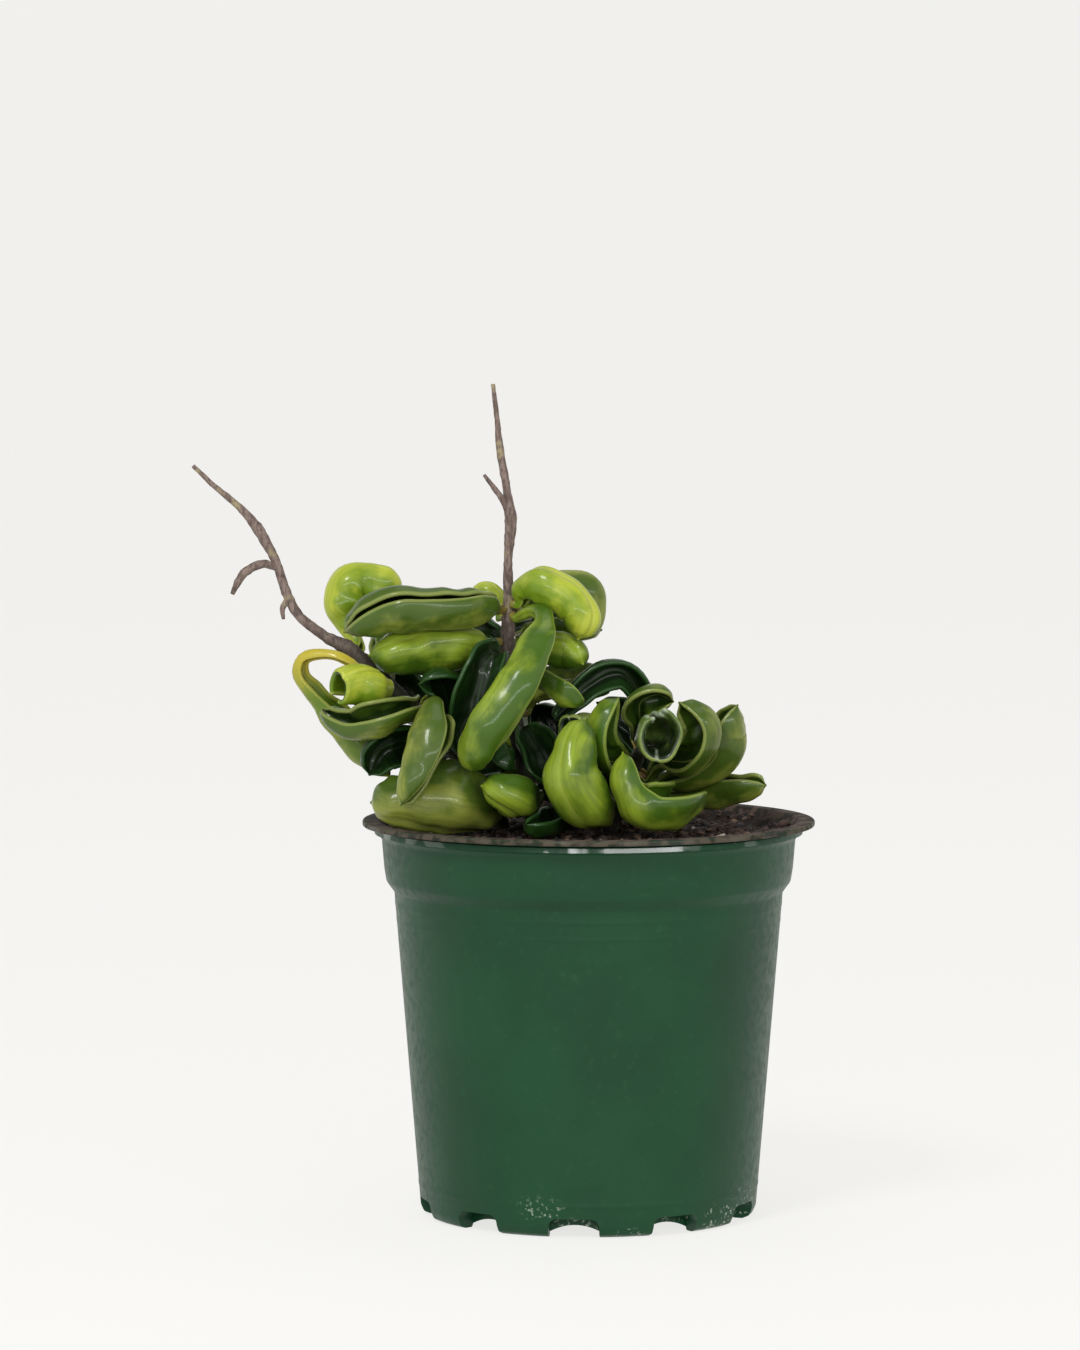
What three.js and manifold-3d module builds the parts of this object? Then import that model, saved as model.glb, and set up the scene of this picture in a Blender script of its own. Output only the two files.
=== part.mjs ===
// Hindu rope plant: a waxy vine with curled leaves, in a round nursery pot.
// Millimetres, +Z up. While it is built, the pot's axis is the Z axis and its
// foot stands on Z = 0; at the end the whole plant is moved sideways so that
// the middle of its bounding box's bottom is the origin.
import * as THREE from 'three';
import { mergeVertices } from 'three/addons/utils/BufferGeometryUtils.js';
import { LoftGeometry } from 'three/addons/geometries/LoftGeometry.js';
import Module from 'manifold-3d';

const wasm = await Module();
wasm.setup();

// Pot
const POT_HEIGHT = 94.7;
const POT_WALL = 1.2;
const LIP_RADIUS = 54;
const LIP_THICK = 1.3;
const LIP_ROUND = 0.4;
const COLLAR_TOP_RADIUS = 50.2;
const COLLAR_FOOT_RADIUS = 48.3;
const COLLAR_FOOT_Z = 80.2;
const STEP_Z = 77.6;
const BODY_TOP_RADIUS = 46.4;
const BODY_FOOT_RADIUS = 40.2;
const FOOT_FILLET = 2.4;
const FILLET_MIDDLE = 0.3;
const FOOT_RING_RADIUS = 35.4;
const FOOT_RING_SLOPE = 1;
const FLOOR_UNDERSIDE_Z = 3;
const FLARE_TOP_Z = 92.5;
const FLARE_FOOT_Z = 90.3;
const FLARE = 0.8;
const POT_SIDES = 36;
const NOTCH_COUNT = 10;
const NOTCH_WIDTH = 12;
const NOTCH_HEIGHT = 4.6;
const NOTCH_ROUND = 2;
const NOTCH_INNER_RADIUS = 34.6;
const NOTCH_DEPTH = 10;
const NOTCH_TURN = -95;

// Potting mix
const GAP = 0.3;
const SOIL_TOP_Z = 91;
const SOIL_LUMP = 0.8;
const SOIL_EDGE_DROP = 3;
const SOIL_SIDES = 28;
const SOIL_RINGS = 7;
const STEM_HOLE_SIDES = 16;

// Stems: points along the middle of each, with the radius there
const STEM_SIDES = 8;
const STEM_STEPS = 2;
const STEM_SEARCH = 1 / 512;
const STEM_FACE = [0.3, 1, 0];
const STEMS = {
  left: [
    [-21, 6, 80, 2.1], [-21, 6, 92, 2.1], [-26, 6, 103, 2], [-36, 3, 114.5, 1.9],
    [-48, -1, 127, 1.9], [-57, -3, 135.4, 2], [-62.7, -4, 138.7, 1.2], [-68.6, -4, 143.3, 1.15],
    [-71.9, -4, 149.2, 1.2], [-74.3, -3, 156.3, 1.05], [-78.6, -2, 164, 1.35], [-83, -1, 169.1, 0.85],
    [-89.2, 0, 174.3, 0.65], [-94.2, 1, 179, 0.5],
  ],
  centre: [
    [-13, 4, 80, 2.2], [-13, 4, 92, 2.2], [-15, 4, 106, 2.1], [-18.5, 4, 122, 2],
    [-19.4, 1, 137, 1.8], [-19, 0, 146, 1.4], [-19.2, 0, 156.7, 1], [-18.6, 0, 165.8, 1.5],
    [-19.5, 0, 173.3, 0.95], [-21.1, 1, 182.8, 0.95], [-21.8, 1, 190, 0.65], [-22.8, 1, 198.5, 0.5],
  ],
  right: [
    [5, 8, 80, 2.1], [5, 8, 92, 2.1], [8, 6, 101, 2], [11, 3, 108, 1.8], [12.7, -3, 111.8, 1.3],
  ],
};

// Side growths of the stems: a dried bract and a spur on the left twig, a twiglet on the middle one
const SIDE_GROWTHS = {
  left: [
    [[-74.3, -3, 155, 0.8], [-77.6, -4, 155.9, 1], [-81.3, -5, 154.2, 1.1], [-83.3, -6, 151.6, 0.9],
      [-84.6, -6, 148.8, 0.5]],
    [[-71.5, -4, 147.6, 0.75], [-72.7, -4.6, 145.3, 0.7], [-72.5, -5, 142.8, 0.4]],
  ],
  centre: [
    [[-18.9, 0, 166.6, 0.7], [-20.2, -1, 170.5, 0.8], [-22.6, -1.6, 174, 0.65], [-24.9, -2, 177, 0.4]],
  ],
  right: [],
};

// Leaf blades: lengths in millimetres, the twist from end to end in degrees, and the rest as shares
// of the roll's radius, of the half width or of the length; the margins stand a little out of step
const LEAF_THICK = 1.7;
const MARGIN_THINNER = 0.35;
const THICK_SHARE = 0.6;
const STALK_RADIUS = 1.15;
const STALK_LENGTH = 1.8;
const STALK_OPENS = 0.25;
const STALK_ROLL = 0.8;
const BEND_SHARE = 0.8;
const MIDRIB_GROOVE = 0.1;
const MIDRIB_WIDTH = 0.16;
const LUMP = 0.045;
const LUMPS = 2.3;
const LUMP_STEP_BY_LEAF = 2.4;
const LUMP_STEP_BY_SIDE = 1.3;
const WAVE = 0.3;
const WAVES = 2;
const WAVES_START = 0.3;
const SIDES_APART = 0.9;
const TIP_POINTED = 2;
const TWIST = 40;
const FOLD = 0.08;
const LEAF_ROWS = 9;
const LEAF_COLUMNS = 6;
const ROWS_TO_ENDS = 0.55;

// Leaves: the stem each grows on and how high, the way that the slit of its roll faces, half the
// angle in degrees that the roll goes round, and points along its middle with the roll's radius;
// some have a taller or a faster wave along their margins, one a stronger twist, and one is a spiral
const LEAVES = [
  { name: 'crest', stem: 'left', height: 134, slit: [0.3, -0.2, -1], roll: 150,
    path: [[-58, 5, 140.5, 2.4], [-59, 7, 146, 4.6], [-56, 8, 150.9, 6.3],
      [-51, 8.5, 150.4, 5.4], [-45, 9, 147, 1.4]] },
  { name: 'slit', stem: 'centre', height: 145, slit: [0, -0.75, 0.7], roll: 168, twist: -60,
    path: [[-24, -5, 145.8, 3.6], [-29, -8, 145.3, 4.4], [-36, -10, 144.6, 5], [-43, -10, 143.8, 5.5],
      [-49, -9, 141.6, 5.5], [-57, -7, 137.2, 1.4]] },
  { name: 'bump', stem: 'centre', height: 142, slit: [0, 0.3, -1], roll: 150,
    path: [[-21, 6, 145, 2.2], [-24, 7, 148.4, 2.6], [-28, 7, 148.2, 1.4]] },
  { name: 'bulge', stem: 'centre', height: 137, slit: [0, 0.6, -0.8], roll: 150,
    path: [[-25, -3, 136, 3.8], [-32, -5, 134.2, 5.7], [-39.5, -6, 133, 6.2], [-48, -6, 132.6, 5.4],
      [-56, -6, 132.6, 1.4]] },
  { name: 'inner_dark', stem: 'centre', height: 134.5, slit: [0, -1, 0.2], roll: 110,
    path: [[-22, -7, 136.5, 3], [-25.5, -12.5, 133.5, 4.8], [-30, -14, 126, 5.4],
      [-31.5, -13, 116.5, 4.6], [-31, -12, 107, 1.4]] },
  { name: 'cup', stem: 'left', height: 128, slit: [-0.3, 0.2, -0.9], roll: 160,
    path: [[-48.5, -8, 128, 3], [-51, -11, 128, 4.2], [-54.5, -13.5, 127.8, 4.6],
      [-58.5, -16.5, 127, 4.2]] },
  { name: 'wave_left', stem: 'left', height: 121, slit: [0, -0.85, 0.55], roll: 150, wave: 0.9, waves: 2,
    path: [[-38, -9, 124.5, 2.5], [-42, -16, 123.2, 3.5], [-49, -19, 120.3, 4],
      [-56.5, -17, 119, 3.6], [-63, -11, 122.3, 1.4]] },
  { name: 'wave_right', stem: 'left', height: 117, slit: [1, -0.45, 0], roll: 150, wave: 0.7, waves: 2,
    path: [[-35, -10, 120.5, 2.5], [-35.3, -18, 122.3, 3.8], [-36.8, -24, 116.5, 4.9],
      [-40, -27.5, 108, 4.1], [-44, -29.5, 100.5, 1.3]] },
  { name: 'inner_left', stem: 'left', height: 112, slit: [0, -1, -0.2], roll: 110,
    path: [[-38, -5, 113, 3.6], [-43, -11, 113.5, 5.2], [-48.5, -13, 110.5, 5], [-51.5, -13, 105, 1.4]] },
  { name: 'hook', stem: 'left', height: 132, slit: [0.7, -0.5, 0.5], roll: 125,
    path: [[-58, -7, 133.5, 1.2], [-62.5, -6, 134.2, 1.2], [-67.4, -4.5, 133.3, 1.5], [-68.2, -4, 129, 1.9],
      [-64, -4, 124.3, 2.6], [-58, -4, 118.3, 4.2], [-52, -5, 112, 4.9], [-46.5, -6, 105, 1.4]] },
  { name: 'rim', stem: 'left', height: 98, slit: [0, 0.5, 0.8], roll: 145, wave: 0.5, waves: 2,
    path: [[-22.5, -3, 100.6, 4.2], [-26, -10, 102, 7.4], [-32, -14.5, 102.8, 8.9], [-39, -17, 102.4, 8.1],
      [-46, -17.5, 102.2, 6], [-52, -16, 101.5, 1.4]] },
  { name: 'large', stem: 'centre', height: 143.5, slit: [0.9, 0.1, 0.2], roll: 150, wave: 0.4, waves: 1,
    path: [[-13.6, -6.6, 145.6, 1.5], [-10.4, -12, 143.6, 2], [-12.6, -18, 136.5, 4.3],
      [-16.6, -22, 129, 5.6], [-22, -24, 121, 5.7], [-26, -24, 114, 4.6], [-27, -22, 107, 1.4]] },
  { name: 'curl', stem: 'centre', height: 99, slit: [0, 0.3, 1], roll: 140,
    path: [[-11.5, -5, 101, 2.5], [-12.5, -15, 102, 4.6], [-17.5, -21.5, 103, 5.4], [-26, -22, 105, 1.4]] },
  { name: 'foot_dark', stem: 'centre', height: 96, slit: [0, -0.7, 0.7], roll: 130,
    path: [[-9, -4, 96.8, 2.5], [-7, -12, 97.2, 3.8], [-9.5, -20, 97.2, 3.4], [-15, -25, 97, 1.4]] },
  { name: 'hollow', stem: 'centre', height: 116, slit: [0.2, -1, 0.3], roll: 110,
    path: [[-14, -4, 117, 3.2], [-11, -10, 114.5, 4.8], [-8.5, -13, 108, 4.8], [-7, -13, 102, 1.4]] },
  { name: 'inner_middle', stem: 'left', height: 116, slit: [0.2, -1, 0.2], roll: 110,
    path: [[-33, -1, 119, 3], [-33.5, -6, 123, 4.6], [-36, -10, 127, 4.4], [-41, -11, 126.5, 1.4]] },
  { name: 'inner_low', stem: 'left', height: 104, slit: [0.3, -1, 0.1], roll: 115,
    path: [[-27, -2, 105.5, 3], [-25.5, -8, 107, 4.6], [-21, -12.5, 108, 4.8], [-15, -14, 106.5, 1.4]] },
  { name: 'inner_right', stem: 'right', height: 100, slit: [-0.2, -1, 0.3], roll: 115,
    path: [[4, -1, 102.5, 3], [0, -7, 104.5, 4.4], [-1, -10, 110, 4.4], [-3, -11, 114.5, 1.4]] },
  { name: 'inner_behind_left', stem: 'left', height: 118, slit: [0, -1, 0.1], roll: 105,
    path: [[-40, 9, 120, 3.2], [-41.5, 13.5, 123.5, 5.2], [-46, 14, 129.5, 5.4], [-52.5, 12, 136, 1.4]] },
  { name: 'inner_behind_top', stem: 'centre', height: 126, slit: [0.1, -1, 0.1], roll: 105,
    path: [[-22, 12, 127, 3.4], [-27, 15.5, 128.2, 5.4], [-33, 16, 128.4, 5.2], [-38.5, 14, 127.5, 1.4]] },
  { name: 'inner_behind_slit', stem: 'centre', height: 136, slit: [0, -1, 0.1], roll: 105,
    path: [[-22.5, 6, 138, 2.4], [-26.5, 9, 139.6, 3.8], [-31.5, 9.5, 139.6, 3.8], [-36, 9, 138.6, 1.4]] },
  { name: 'inner_behind_right', stem: 'centre', height: 106, slit: [0, -1, 0.1], roll: 105,
    path: [[-11, 10, 108.5, 3.4], [-9.5, 13, 113, 5.4], [-10.5, 13.5, 118.5, 5.4], [-13, 13, 123, 1.4]] },
  { name: 'inner_rosette', stem: 'right', height: 101.5, slit: [0, -1, 0.2], roll: 105,
    path: [[11, 10, 104.5, 3.4], [12, 13, 110, 5.6], [8.5, 13.5, 117.5, 5.6], [1, 12, 123.5, 1.4]] },
  { name: 'pale_edge', stem: 'right', height: 109, slit: [0.2, -0.6, -0.8], roll: 140,
    path: [[5, -3, 113, 2.5], [0, -8, 115.5, 3.8], [-4.5, -12, 117, 4]] },
  { name: 'banana', stem: 'centre', height: 146, slit: [-0.5, 0.3, -0.8], roll: 150,
    path: [[-15.5, -4, 149, 2.8], [-11.2, -7, 150.4, 4.2], [-5.5, -8, 147.8, 4.5],
      [-2.3, -8, 142.3, 4.5], [-3.4, -7, 135.5, 1.4]] },
  { name: 'behind', stem: 'centre', height: 144, slit: [-0.5, -0.2, -0.8], roll: 150,
    path: [[-13, 4, 148, 2.2], [-7, 5, 150.5, 3.5], [-1.5, 5, 149.8, 3.9], [0.3, 4, 144.5, 3.7],
      [-0.6, 3, 138, 1.4]] },
  { name: 'lobe', stem: 'centre', height: 134, slit: [-0.3, 0.5, -0.8], roll: 150,
    path: [[-12, -2, 134.5, 2.2], [-7, -5, 136, 3.8], [-2.8, -6, 135, 4.3], [-0.3, -7, 130.5, 1.4]] },
  { name: 'small_edge', stem: 'centre', height: 127, slit: [0.7, -0.6, 0.4], roll: 120,
    path: [[-12, -2, 129, 2], [-8, -8, 128, 3.3], [-5, -10, 124, 3.5], [-2, -10.5, 119, 1.5]] },
  { name: 'arch', stem: 'right', height: 107, slit: [0, -1, -0.3], roll: 115,
    path: [[14, 4, 115, 2.2], [12.4, 1, 123.6, 3.2], [6.8, -3, 131, 3.7], [0, -6, 129.2, 3.6],
      [-5, -9, 122, 2.6], [-8, -11, 116, 1.4]] },
  { name: 'bulb', stem: 'right', height: 96, slit: [0.3, 0.9, 0.2], roll: 150,
    path: [[3, -4, 97.5, 2.5], [0.5, -15, 98.5, 5], [-2.5, -21, 101.5, 7.2], [-3.6, -22, 106.5, 7.6],
      [-2.2, -21, 113, 4.9], [0.8, -18, 120.5, 1.3]] },
  { name: 'ring', stem: 'right', height: 101, slit: [0, -0.6, 0.8], roll: 130, wave: 0.6, waves: 2,
    path: [[15, 1, 101, 2.5], [21.5, -5, 102, 4.2], [22.5, -13, 102, 5.4], [18.5, -20, 100.5, 6.2],
      [11.5, -23, 100.6, 6.2], [7.3, -23.5, 105.5, 4.4], [6.2, -21, 112.5, 1.4]] },
  { name: 'funnel', stem: 'right', height: 'top', slit: [-0.3, 0, 1], roll: 172, spiral: 0.15,
    path: [[13.3, -8, 113.4, 3], [13.8, -13, 114.8, 5], [14.2, -18.5, 115.8, 5.7]] },
  { name: 'fold', stem: 'right', height: 105, slit: [0.85, -0.5, 0], roll: 105,
    path: [[8.5, -6, 108.5, 3], [7, -12, 111.5, 4.6], [6.5, -15, 117.5, 4.6], [8, -15.5, 124.5, 1.4]] },
  { name: 'upper_lobe', stem: 'right', height: 110, slit: [-0.2, -0.5, -0.8], roll: 125,
    path: [[12.5, -2, 117, 2.5], [12, -6, 121.4, 3.6], [15.8, -8, 123.8, 4], [20.5, -9, 123, 1.4]] },
  { name: 'side_lobe', stem: 'right', height: 107, slit: [-0.8, -0.4, 0.2], roll: 120,
    path: [[17.5, -1, 108.5, 2.6], [22.5, -7, 110.5, 4.6], [23.6, -11, 116.5, 4.9], [19, -13, 123, 1.4]] },
  { name: 'upright', stem: 'right', height: 103, slit: [-0.9, -0.2, 0.2], roll: 115,
    path: [[16, 2, 103.5, 2.5], [23, -2, 106, 4.2], [27, -5, 110.5, 5.5],
      [28.4, -6, 116.3, 5.4], [34.2, -6, 122.2, 1.3]] },
  { name: 'low_right', stem: 'right', height: 96, slit: [0, -0.2, 1], roll: 150,
    path: [[15, 6, 98.8, 2.2], [23, 6, 100.2, 3.2], [31, 3, 101.8, 3.7], [37, 0, 102.8, 3.4],
      [42.3, -2, 103, 1.5]] },
];

// Leaves behind the stems, placed by rule: the heights on each stem where one grows, the ranges that
// the angles (degrees), the sizes and the slit's way are drawn from, and the roll's radius along the
// leaf as shares of the size drawn, with the tip's in millimetres
const BACK_LEAVES = { left: [103, 111, 119, 127], centre: [101, 110, 119, 129, 139], right: [98, 105] };
const BACK_SEED = 43;
const BACK_MIDDLE_X = -12;
const BACK_LEAN = [5, 40];
const BACK_RISE = [-10, 45];
const BACK_DROOP = [1.2, 3.2];
const BACK_BEND = [50, 150];
const BACK_LENGTH = [25, 36];
const BACK_RADIUS = [4, 6.4];
const BACK_ROLL = [120, 160];
const BACK_RADII = [0.65, 1, 0.9];
const BACK_TIP = 1.5;
const BACK_SLIT = [[-0.8, 0.8], [-0.6, 0.8], [-1, 1]];

// Bending clear: each leaf is a string of beads that push each other apart
const BEADS = 12;
const CLEAR = 0.7;
const PASSES = 120;
const PUSH = 0.4;
const EASINGS = 4;
const FREE_FROM = 3;
const POSTS = 60;
const RIM_INSIDE = 44;
const RIM_BLEND = 5;

const POT_GREEN = 0x2c4e34;
const MIX_BROWN = 0x3a2f28;
const BARK_BROWN = 0x6b5a50;
const LEAF_GREEN = 0x7d9a34;
const DARK_GREEN = 0x2f5a1e;

function toSolid(geometry) {
  const plain = new THREE.BufferGeometry().copy(geometry);
  plain.deleteAttribute('normal');
  plain.deleteAttribute('uv');
  const merged = mergeVertices(plain, 1e-4);
  return new wasm.Manifold(new wasm.Mesh({
    numProp: 3,
    vertProperties: new Float32Array(merged.attributes.position.array),
    triVerts: new Uint32Array(merged.index.array),
  }));
}

function fromSolid(solid) {
  const mesh = solid.getMesh();
  const geometry = new THREE.BufferGeometry();
  geometry.setAttribute('position', new THREE.BufferAttribute(mesh.vertProperties, 3));
  geometry.setIndex(new THREE.BufferAttribute(mesh.triVerts, 1));
  geometry.computeVertexNormals();
  return geometry;
}

function smoothstep(x) {
  const t = Math.min(1, Math.max(0, x));
  return t * t * (3 - 2 * t);
}

// A small generator of even random numbers, the same on each run
function seededRandom(seed) {
  let state = seed;
  return () => {
    state = (state * 16807) % 2147483647;
    return state / 2147483647;
  };
}

function asVector([x, y, z]) {
  return new THREE.Vector3(x, y, z);
}

function spline(points) {
  return new THREE.CatmullRomCurve3(points.map(asVector), false, 'catmullrom', 0.5);
}

// The radius of a stem at a share of the way along it
function stemRadius(points, share) {
  const at = share * (points.length - 1);
  const low = Math.min(Math.floor(at), points.length - 2);
  return THREE.MathUtils.lerp(points[low][3], points[low + 1][3], at - low);
}

// Pot: one turned shell with ten notches through the foot
function makePot() {
  const profile = [
    [0, FLOOR_UNDERSIDE_Z],
    [FOOT_RING_RADIUS - FOOT_RING_SLOPE, FLOOR_UNDERSIDE_Z],
    [FOOT_RING_RADIUS, 0],
    [BODY_FOOT_RADIUS - FOOT_FILLET, 0],
    [BODY_FOOT_RADIUS - FILLET_MIDDLE * FOOT_FILLET, FILLET_MIDDLE * FOOT_FILLET],
    [BODY_FOOT_RADIUS, FOOT_FILLET],
    [BODY_TOP_RADIUS, STEP_Z],
    [COLLAR_FOOT_RADIUS, COLLAR_FOOT_Z],
    [COLLAR_TOP_RADIUS - FLARE, FLARE_FOOT_Z],
    [COLLAR_TOP_RADIUS, FLARE_TOP_Z],
    [COLLAR_TOP_RADIUS + FLARE, POT_HEIGHT - LIP_THICK],
    [LIP_RADIUS - LIP_ROUND, POT_HEIGHT - LIP_THICK],
    [LIP_RADIUS, POT_HEIGHT - LIP_THICK + LIP_ROUND],
    [LIP_RADIUS, POT_HEIGHT - LIP_ROUND],
    [LIP_RADIUS - LIP_ROUND, POT_HEIGHT],
    [COLLAR_TOP_RADIUS, POT_HEIGHT],
    [COLLAR_TOP_RADIUS - POT_WALL, FLARE_TOP_Z + LIP_ROUND],
    [COLLAR_TOP_RADIUS - FLARE - POT_WALL, FLARE_FOOT_Z],
    [COLLAR_FOOT_RADIUS - POT_WALL, COLLAR_FOOT_Z + LIP_ROUND],
    [BODY_TOP_RADIUS - POT_WALL, STEP_Z + LIP_ROUND],
    [BODY_FOOT_RADIUS - POT_WALL, FLOOR_UNDERSIDE_Z + POT_WALL],
    [0, FLOOR_UNDERSIDE_Z + POT_WALL],
  ].map(([r, z]) => new THREE.Vector2(r, z));
  const shell = new THREE.LatheGeometry(profile, POT_SIDES);
  shell.rotateX(Math.PI / 2);
  let solid = toSolid(shell);
  for (let i = 0; i < NOTCH_COUNT; i++) {
    const turn = NOTCH_TURN + (i * 360) / NOTCH_COUNT;
    solid = solid.subtract(toSolid(notchCutter().rotateZ(THREE.MathUtils.degToRad(turn))));
  }
  return fromSolid(solid);
}

// An arch with rounded corners, pushed out along +X through the foot of the wall
function notchCutter() {
  const half = NOTCH_WIDTH / 2;
  const cornerZ = NOTCH_HEIGHT - NOTCH_ROUND;
  const arch = new THREE.Shape();
  arch.moveTo(-half, -1);
  arch.lineTo(half, -1);
  arch.lineTo(half, cornerZ);
  arch.absarc(half - NOTCH_ROUND, cornerZ, NOTCH_ROUND, 0, Math.PI / 2);
  arch.lineTo(-half + NOTCH_ROUND, NOTCH_HEIGHT);
  arch.absarc(-half + NOTCH_ROUND, cornerZ, NOTCH_ROUND, Math.PI / 2, Math.PI);
  arch.lineTo(-half, -1);
  const settings = { depth: NOTCH_DEPTH, bevelEnabled: false, curveSegments: 2 };
  const cutter = new THREE.ExtrudeGeometry(arch, settings);
  cutter.rotateX(Math.PI / 2);
  cutter.rotateZ(Math.PI / 2);
  cutter.translate(NOTCH_INNER_RADIUS, 0, 0);
  return cutter;
}

// Potting mix: fills the pot's inside, with a lumpy top and a plain hole for each stem
function makeSoil() {
  const inner = POT_WALL + GAP;
  const foot = FLOOR_UNDERSIDE_Z + inner;
  const edge = COLLAR_TOP_RADIUS - FLARE - inner - GAP;
  const profile = [
    [0, foot],
    [BODY_FOOT_RADIUS - inner, foot],
    [BODY_TOP_RADIUS - inner, STEP_Z + LIP_ROUND],
    [COLLAR_FOOT_RADIUS - inner, COLLAR_FOOT_Z + LIP_ROUND],
    [edge, SOIL_TOP_Z - SOIL_EDGE_DROP],
  ];
  for (let i = SOIL_RINGS; i >= 0; i--) {
    profile.push([(edge * i) / SOIL_RINGS, SOIL_TOP_Z]);
  }
  const mix = new THREE.LatheGeometry(profile.map(([r, z]) => new THREE.Vector2(r, z)), SOIL_SIDES);
  mix.rotateX(Math.PI / 2);
  const places = mix.attributes.position;
  for (let i = 0; i < places.count; i++) {
    if (places.getZ(i) > SOIL_TOP_Z - 1) {
      places.setZ(i, SOIL_TOP_Z + soilLump(places.getX(i), places.getY(i)));
    }
  }
  let solid = toSolid(mix);
  for (const points of Object.values(STEMS)) {
    const [x, y, z, radius] = points[0];
    const depth = POT_HEIGHT - z + GAP;
    const hole = new THREE.CylinderGeometry(radius + GAP, radius + GAP, depth, STEM_HOLE_SIDES);
    hole.rotateX(Math.PI / 2);
    hole.translate(x, y, z - GAP + depth / 2);
    solid = solid.subtract(toSolid(hole));
  }
  return fromSolid(solid);
}

function soilLump(x, y) {
  const broad = Math.sin(0.31 * x + 1.1) * Math.cos(0.27 * y - 0.4);
  const fine = Math.sin(0.9 * x - 0.5 * y) * Math.cos(0.7 * y + 0.6 * x);
  return SOIL_LUMP * (0.6 * broad + 0.4 * fine);
}

// A stem or a side growth: rings of points along its curve, each with its own radius
function makeRod(points) {
  const steps = (points.length - 1) * STEM_STEPS;
  const spots = spline(points).getPoints(steps);
  const frames = carryFrames(spots, asVector(STEM_FACE), 0);
  const sections = spots.map((spot, i) => {
    const radius = stemRadius(points, i / steps);
    const section = [];
    for (let j = 0; j < STEM_SIDES; j++) {
      const angle = (j / STEM_SIDES) * 2 * Math.PI;
      section.push(spot.clone()
        .addScaledVector(frames[i].side, radius * Math.cos(angle))
        .addScaledVector(frames[i].up, radius * Math.sin(angle)));
    }
    return section;
  });
  return new LoftGeometry(sections, { capStart: true, capEnd: true });
}

function makeStem(name) {
  let solid = toSolid(makeRod(STEMS[name]));
  for (const growth of SIDE_GROWTHS[name]) {
    solid = solid.add(toSolid(makeRod(growth)));
  }
  return fromSolid(solid);
}

// Frames along a row of points: the direction, and an up that turns as little as it can from the
// one that is asked for at the middle
function carryFrames(spots, upAtMiddle, middle) {
  const last = spots.length - 1;
  const along = spots.map((_, i) => {
    const from = spots[Math.max(0, i - 1)];
    const to = spots[Math.min(last, i + 1)];
    return to.clone().sub(from).normalize();
  });
  const flatten = (vector, i) => {
    const direction = along[i];
    return vector.clone().addScaledVector(direction, -vector.dot(direction)).normalize();
  };
  const ups = [];
  ups[middle] = flatten(upAtMiddle, middle);
  for (let i = middle + 1; i <= last; i++) {
    ups[i] = flatten(ups[i - 1], i);
  }
  for (let i = middle - 1; i >= 0; i--) {
    ups[i] = flatten(ups[i + 1], i);
  }
  return along.map((direction, i) => ({
    along: direction,
    up: ups[i],
    side: new THREE.Vector3().crossVectors(ups[i], direction),
  }));
}

// Where a stem is at a height, with the radius there
function stemAt(name, height) {
  const points = STEMS[name];
  const curve = spline(points);
  let share = 0;
  while (share < 1 && curve.getPoint(share).z < height) {
    share += STEM_SEARCH;
  }
  const radius = stemRadius(points, share);
  return { spot: curve.getPoint(share), radius, along: curve.getTangent(share) };
}

// The whole middle line of a leaf: out of its stem's side, then through its own points
function leafPath(leaf) {
  let out;
  let root;
  if (leaf.height === 'top') {
    const curve = spline(STEMS[leaf.stem]);
    out = curve.getTangent(1);
    root = curve.getPoint(1).addScaledVector(out, GAP);
  } else {
    const { spot, radius, along } = stemAt(leaf.stem, leaf.height);
    out = asVector(leaf.path[0]).sub(spot);
    out.addScaledVector(along, -out.dot(along)).normalize();
    root = spot.addScaledVector(out, radius + GAP);
  }
  const stalkEnd = root.clone().addScaledVector(out, STALK_LENGTH);
  return [root, stalkEnd, ...leaf.path.map(asVector)];
}

// The radius of the roll at a share of the way along: eased between the points, and narrowing to the tip
function leafRadius(leaf, u) {
  const radii = [STALK_RADIUS, STALK_RADIUS, ...leaf.path.map((point) => point[3])];
  const at = u * (radii.length - 1);
  const low = Math.min(Math.floor(at), radii.length - 2);
  const part = at - low;
  if (low === radii.length - 2) {
    return THREE.MathUtils.lerp(radii[low], radii[low + 1], part ** TIP_POINTED);
  }
  return THREE.MathUtils.lerp(radii[low], radii[low + 1], smoothstep(part));
}

// Back leaves: each leaves its stem backwards and curls round towards the middle of the plant
function backLeaves() {
  const random = seededRandom(BACK_SEED);
  const between = ([low, high]) => low + (high - low) * random();
  const angle = (range) => THREE.MathUtils.degToRad(between(range));
  const leaves = [];
  for (const [stem, heights] of Object.entries(BACK_LEAVES)) {
    heights.forEach((height, i) => {
      const place = stemAt(stem, height).spot;
      const heading = Math.PI / 2 + angle(BACK_LEAN) * (i % 2 === 0 ? -1 : 1);
      const rise = angle(BACK_RISE);
      const droop = between(BACK_DROOP);
      const bend = angle(BACK_BEND) * (place.x < BACK_MIDDLE_X ? -1 : 1);
      const length = between(BACK_LENGTH);
      const wide = between(BACK_RADIUS);
      const radii = [...BACK_RADII.map((share) => share * wide), BACK_TIP];
      const path = [];
      radii.forEach((radius, k) => {
        const turn = heading + (bend * k) / radii.length;
        const climb = rise * (1 - (droop * k) / radii.length);
        const stride = new THREE.Vector3(Math.cos(turn) * Math.cos(climb),
          Math.sin(turn) * Math.cos(climb), Math.sin(climb));
        place.addScaledVector(stride, length / radii.length);
        path.push([...place.toArray(), radius]);
      });
      const slit = BACK_SLIT.map(between);
      leaves.push({ name: `back_${stem}_${i + 1}`, stem, height, path, slit, roll: between(BACK_ROLL) });
    });
  }
  return leaves;
}

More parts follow.
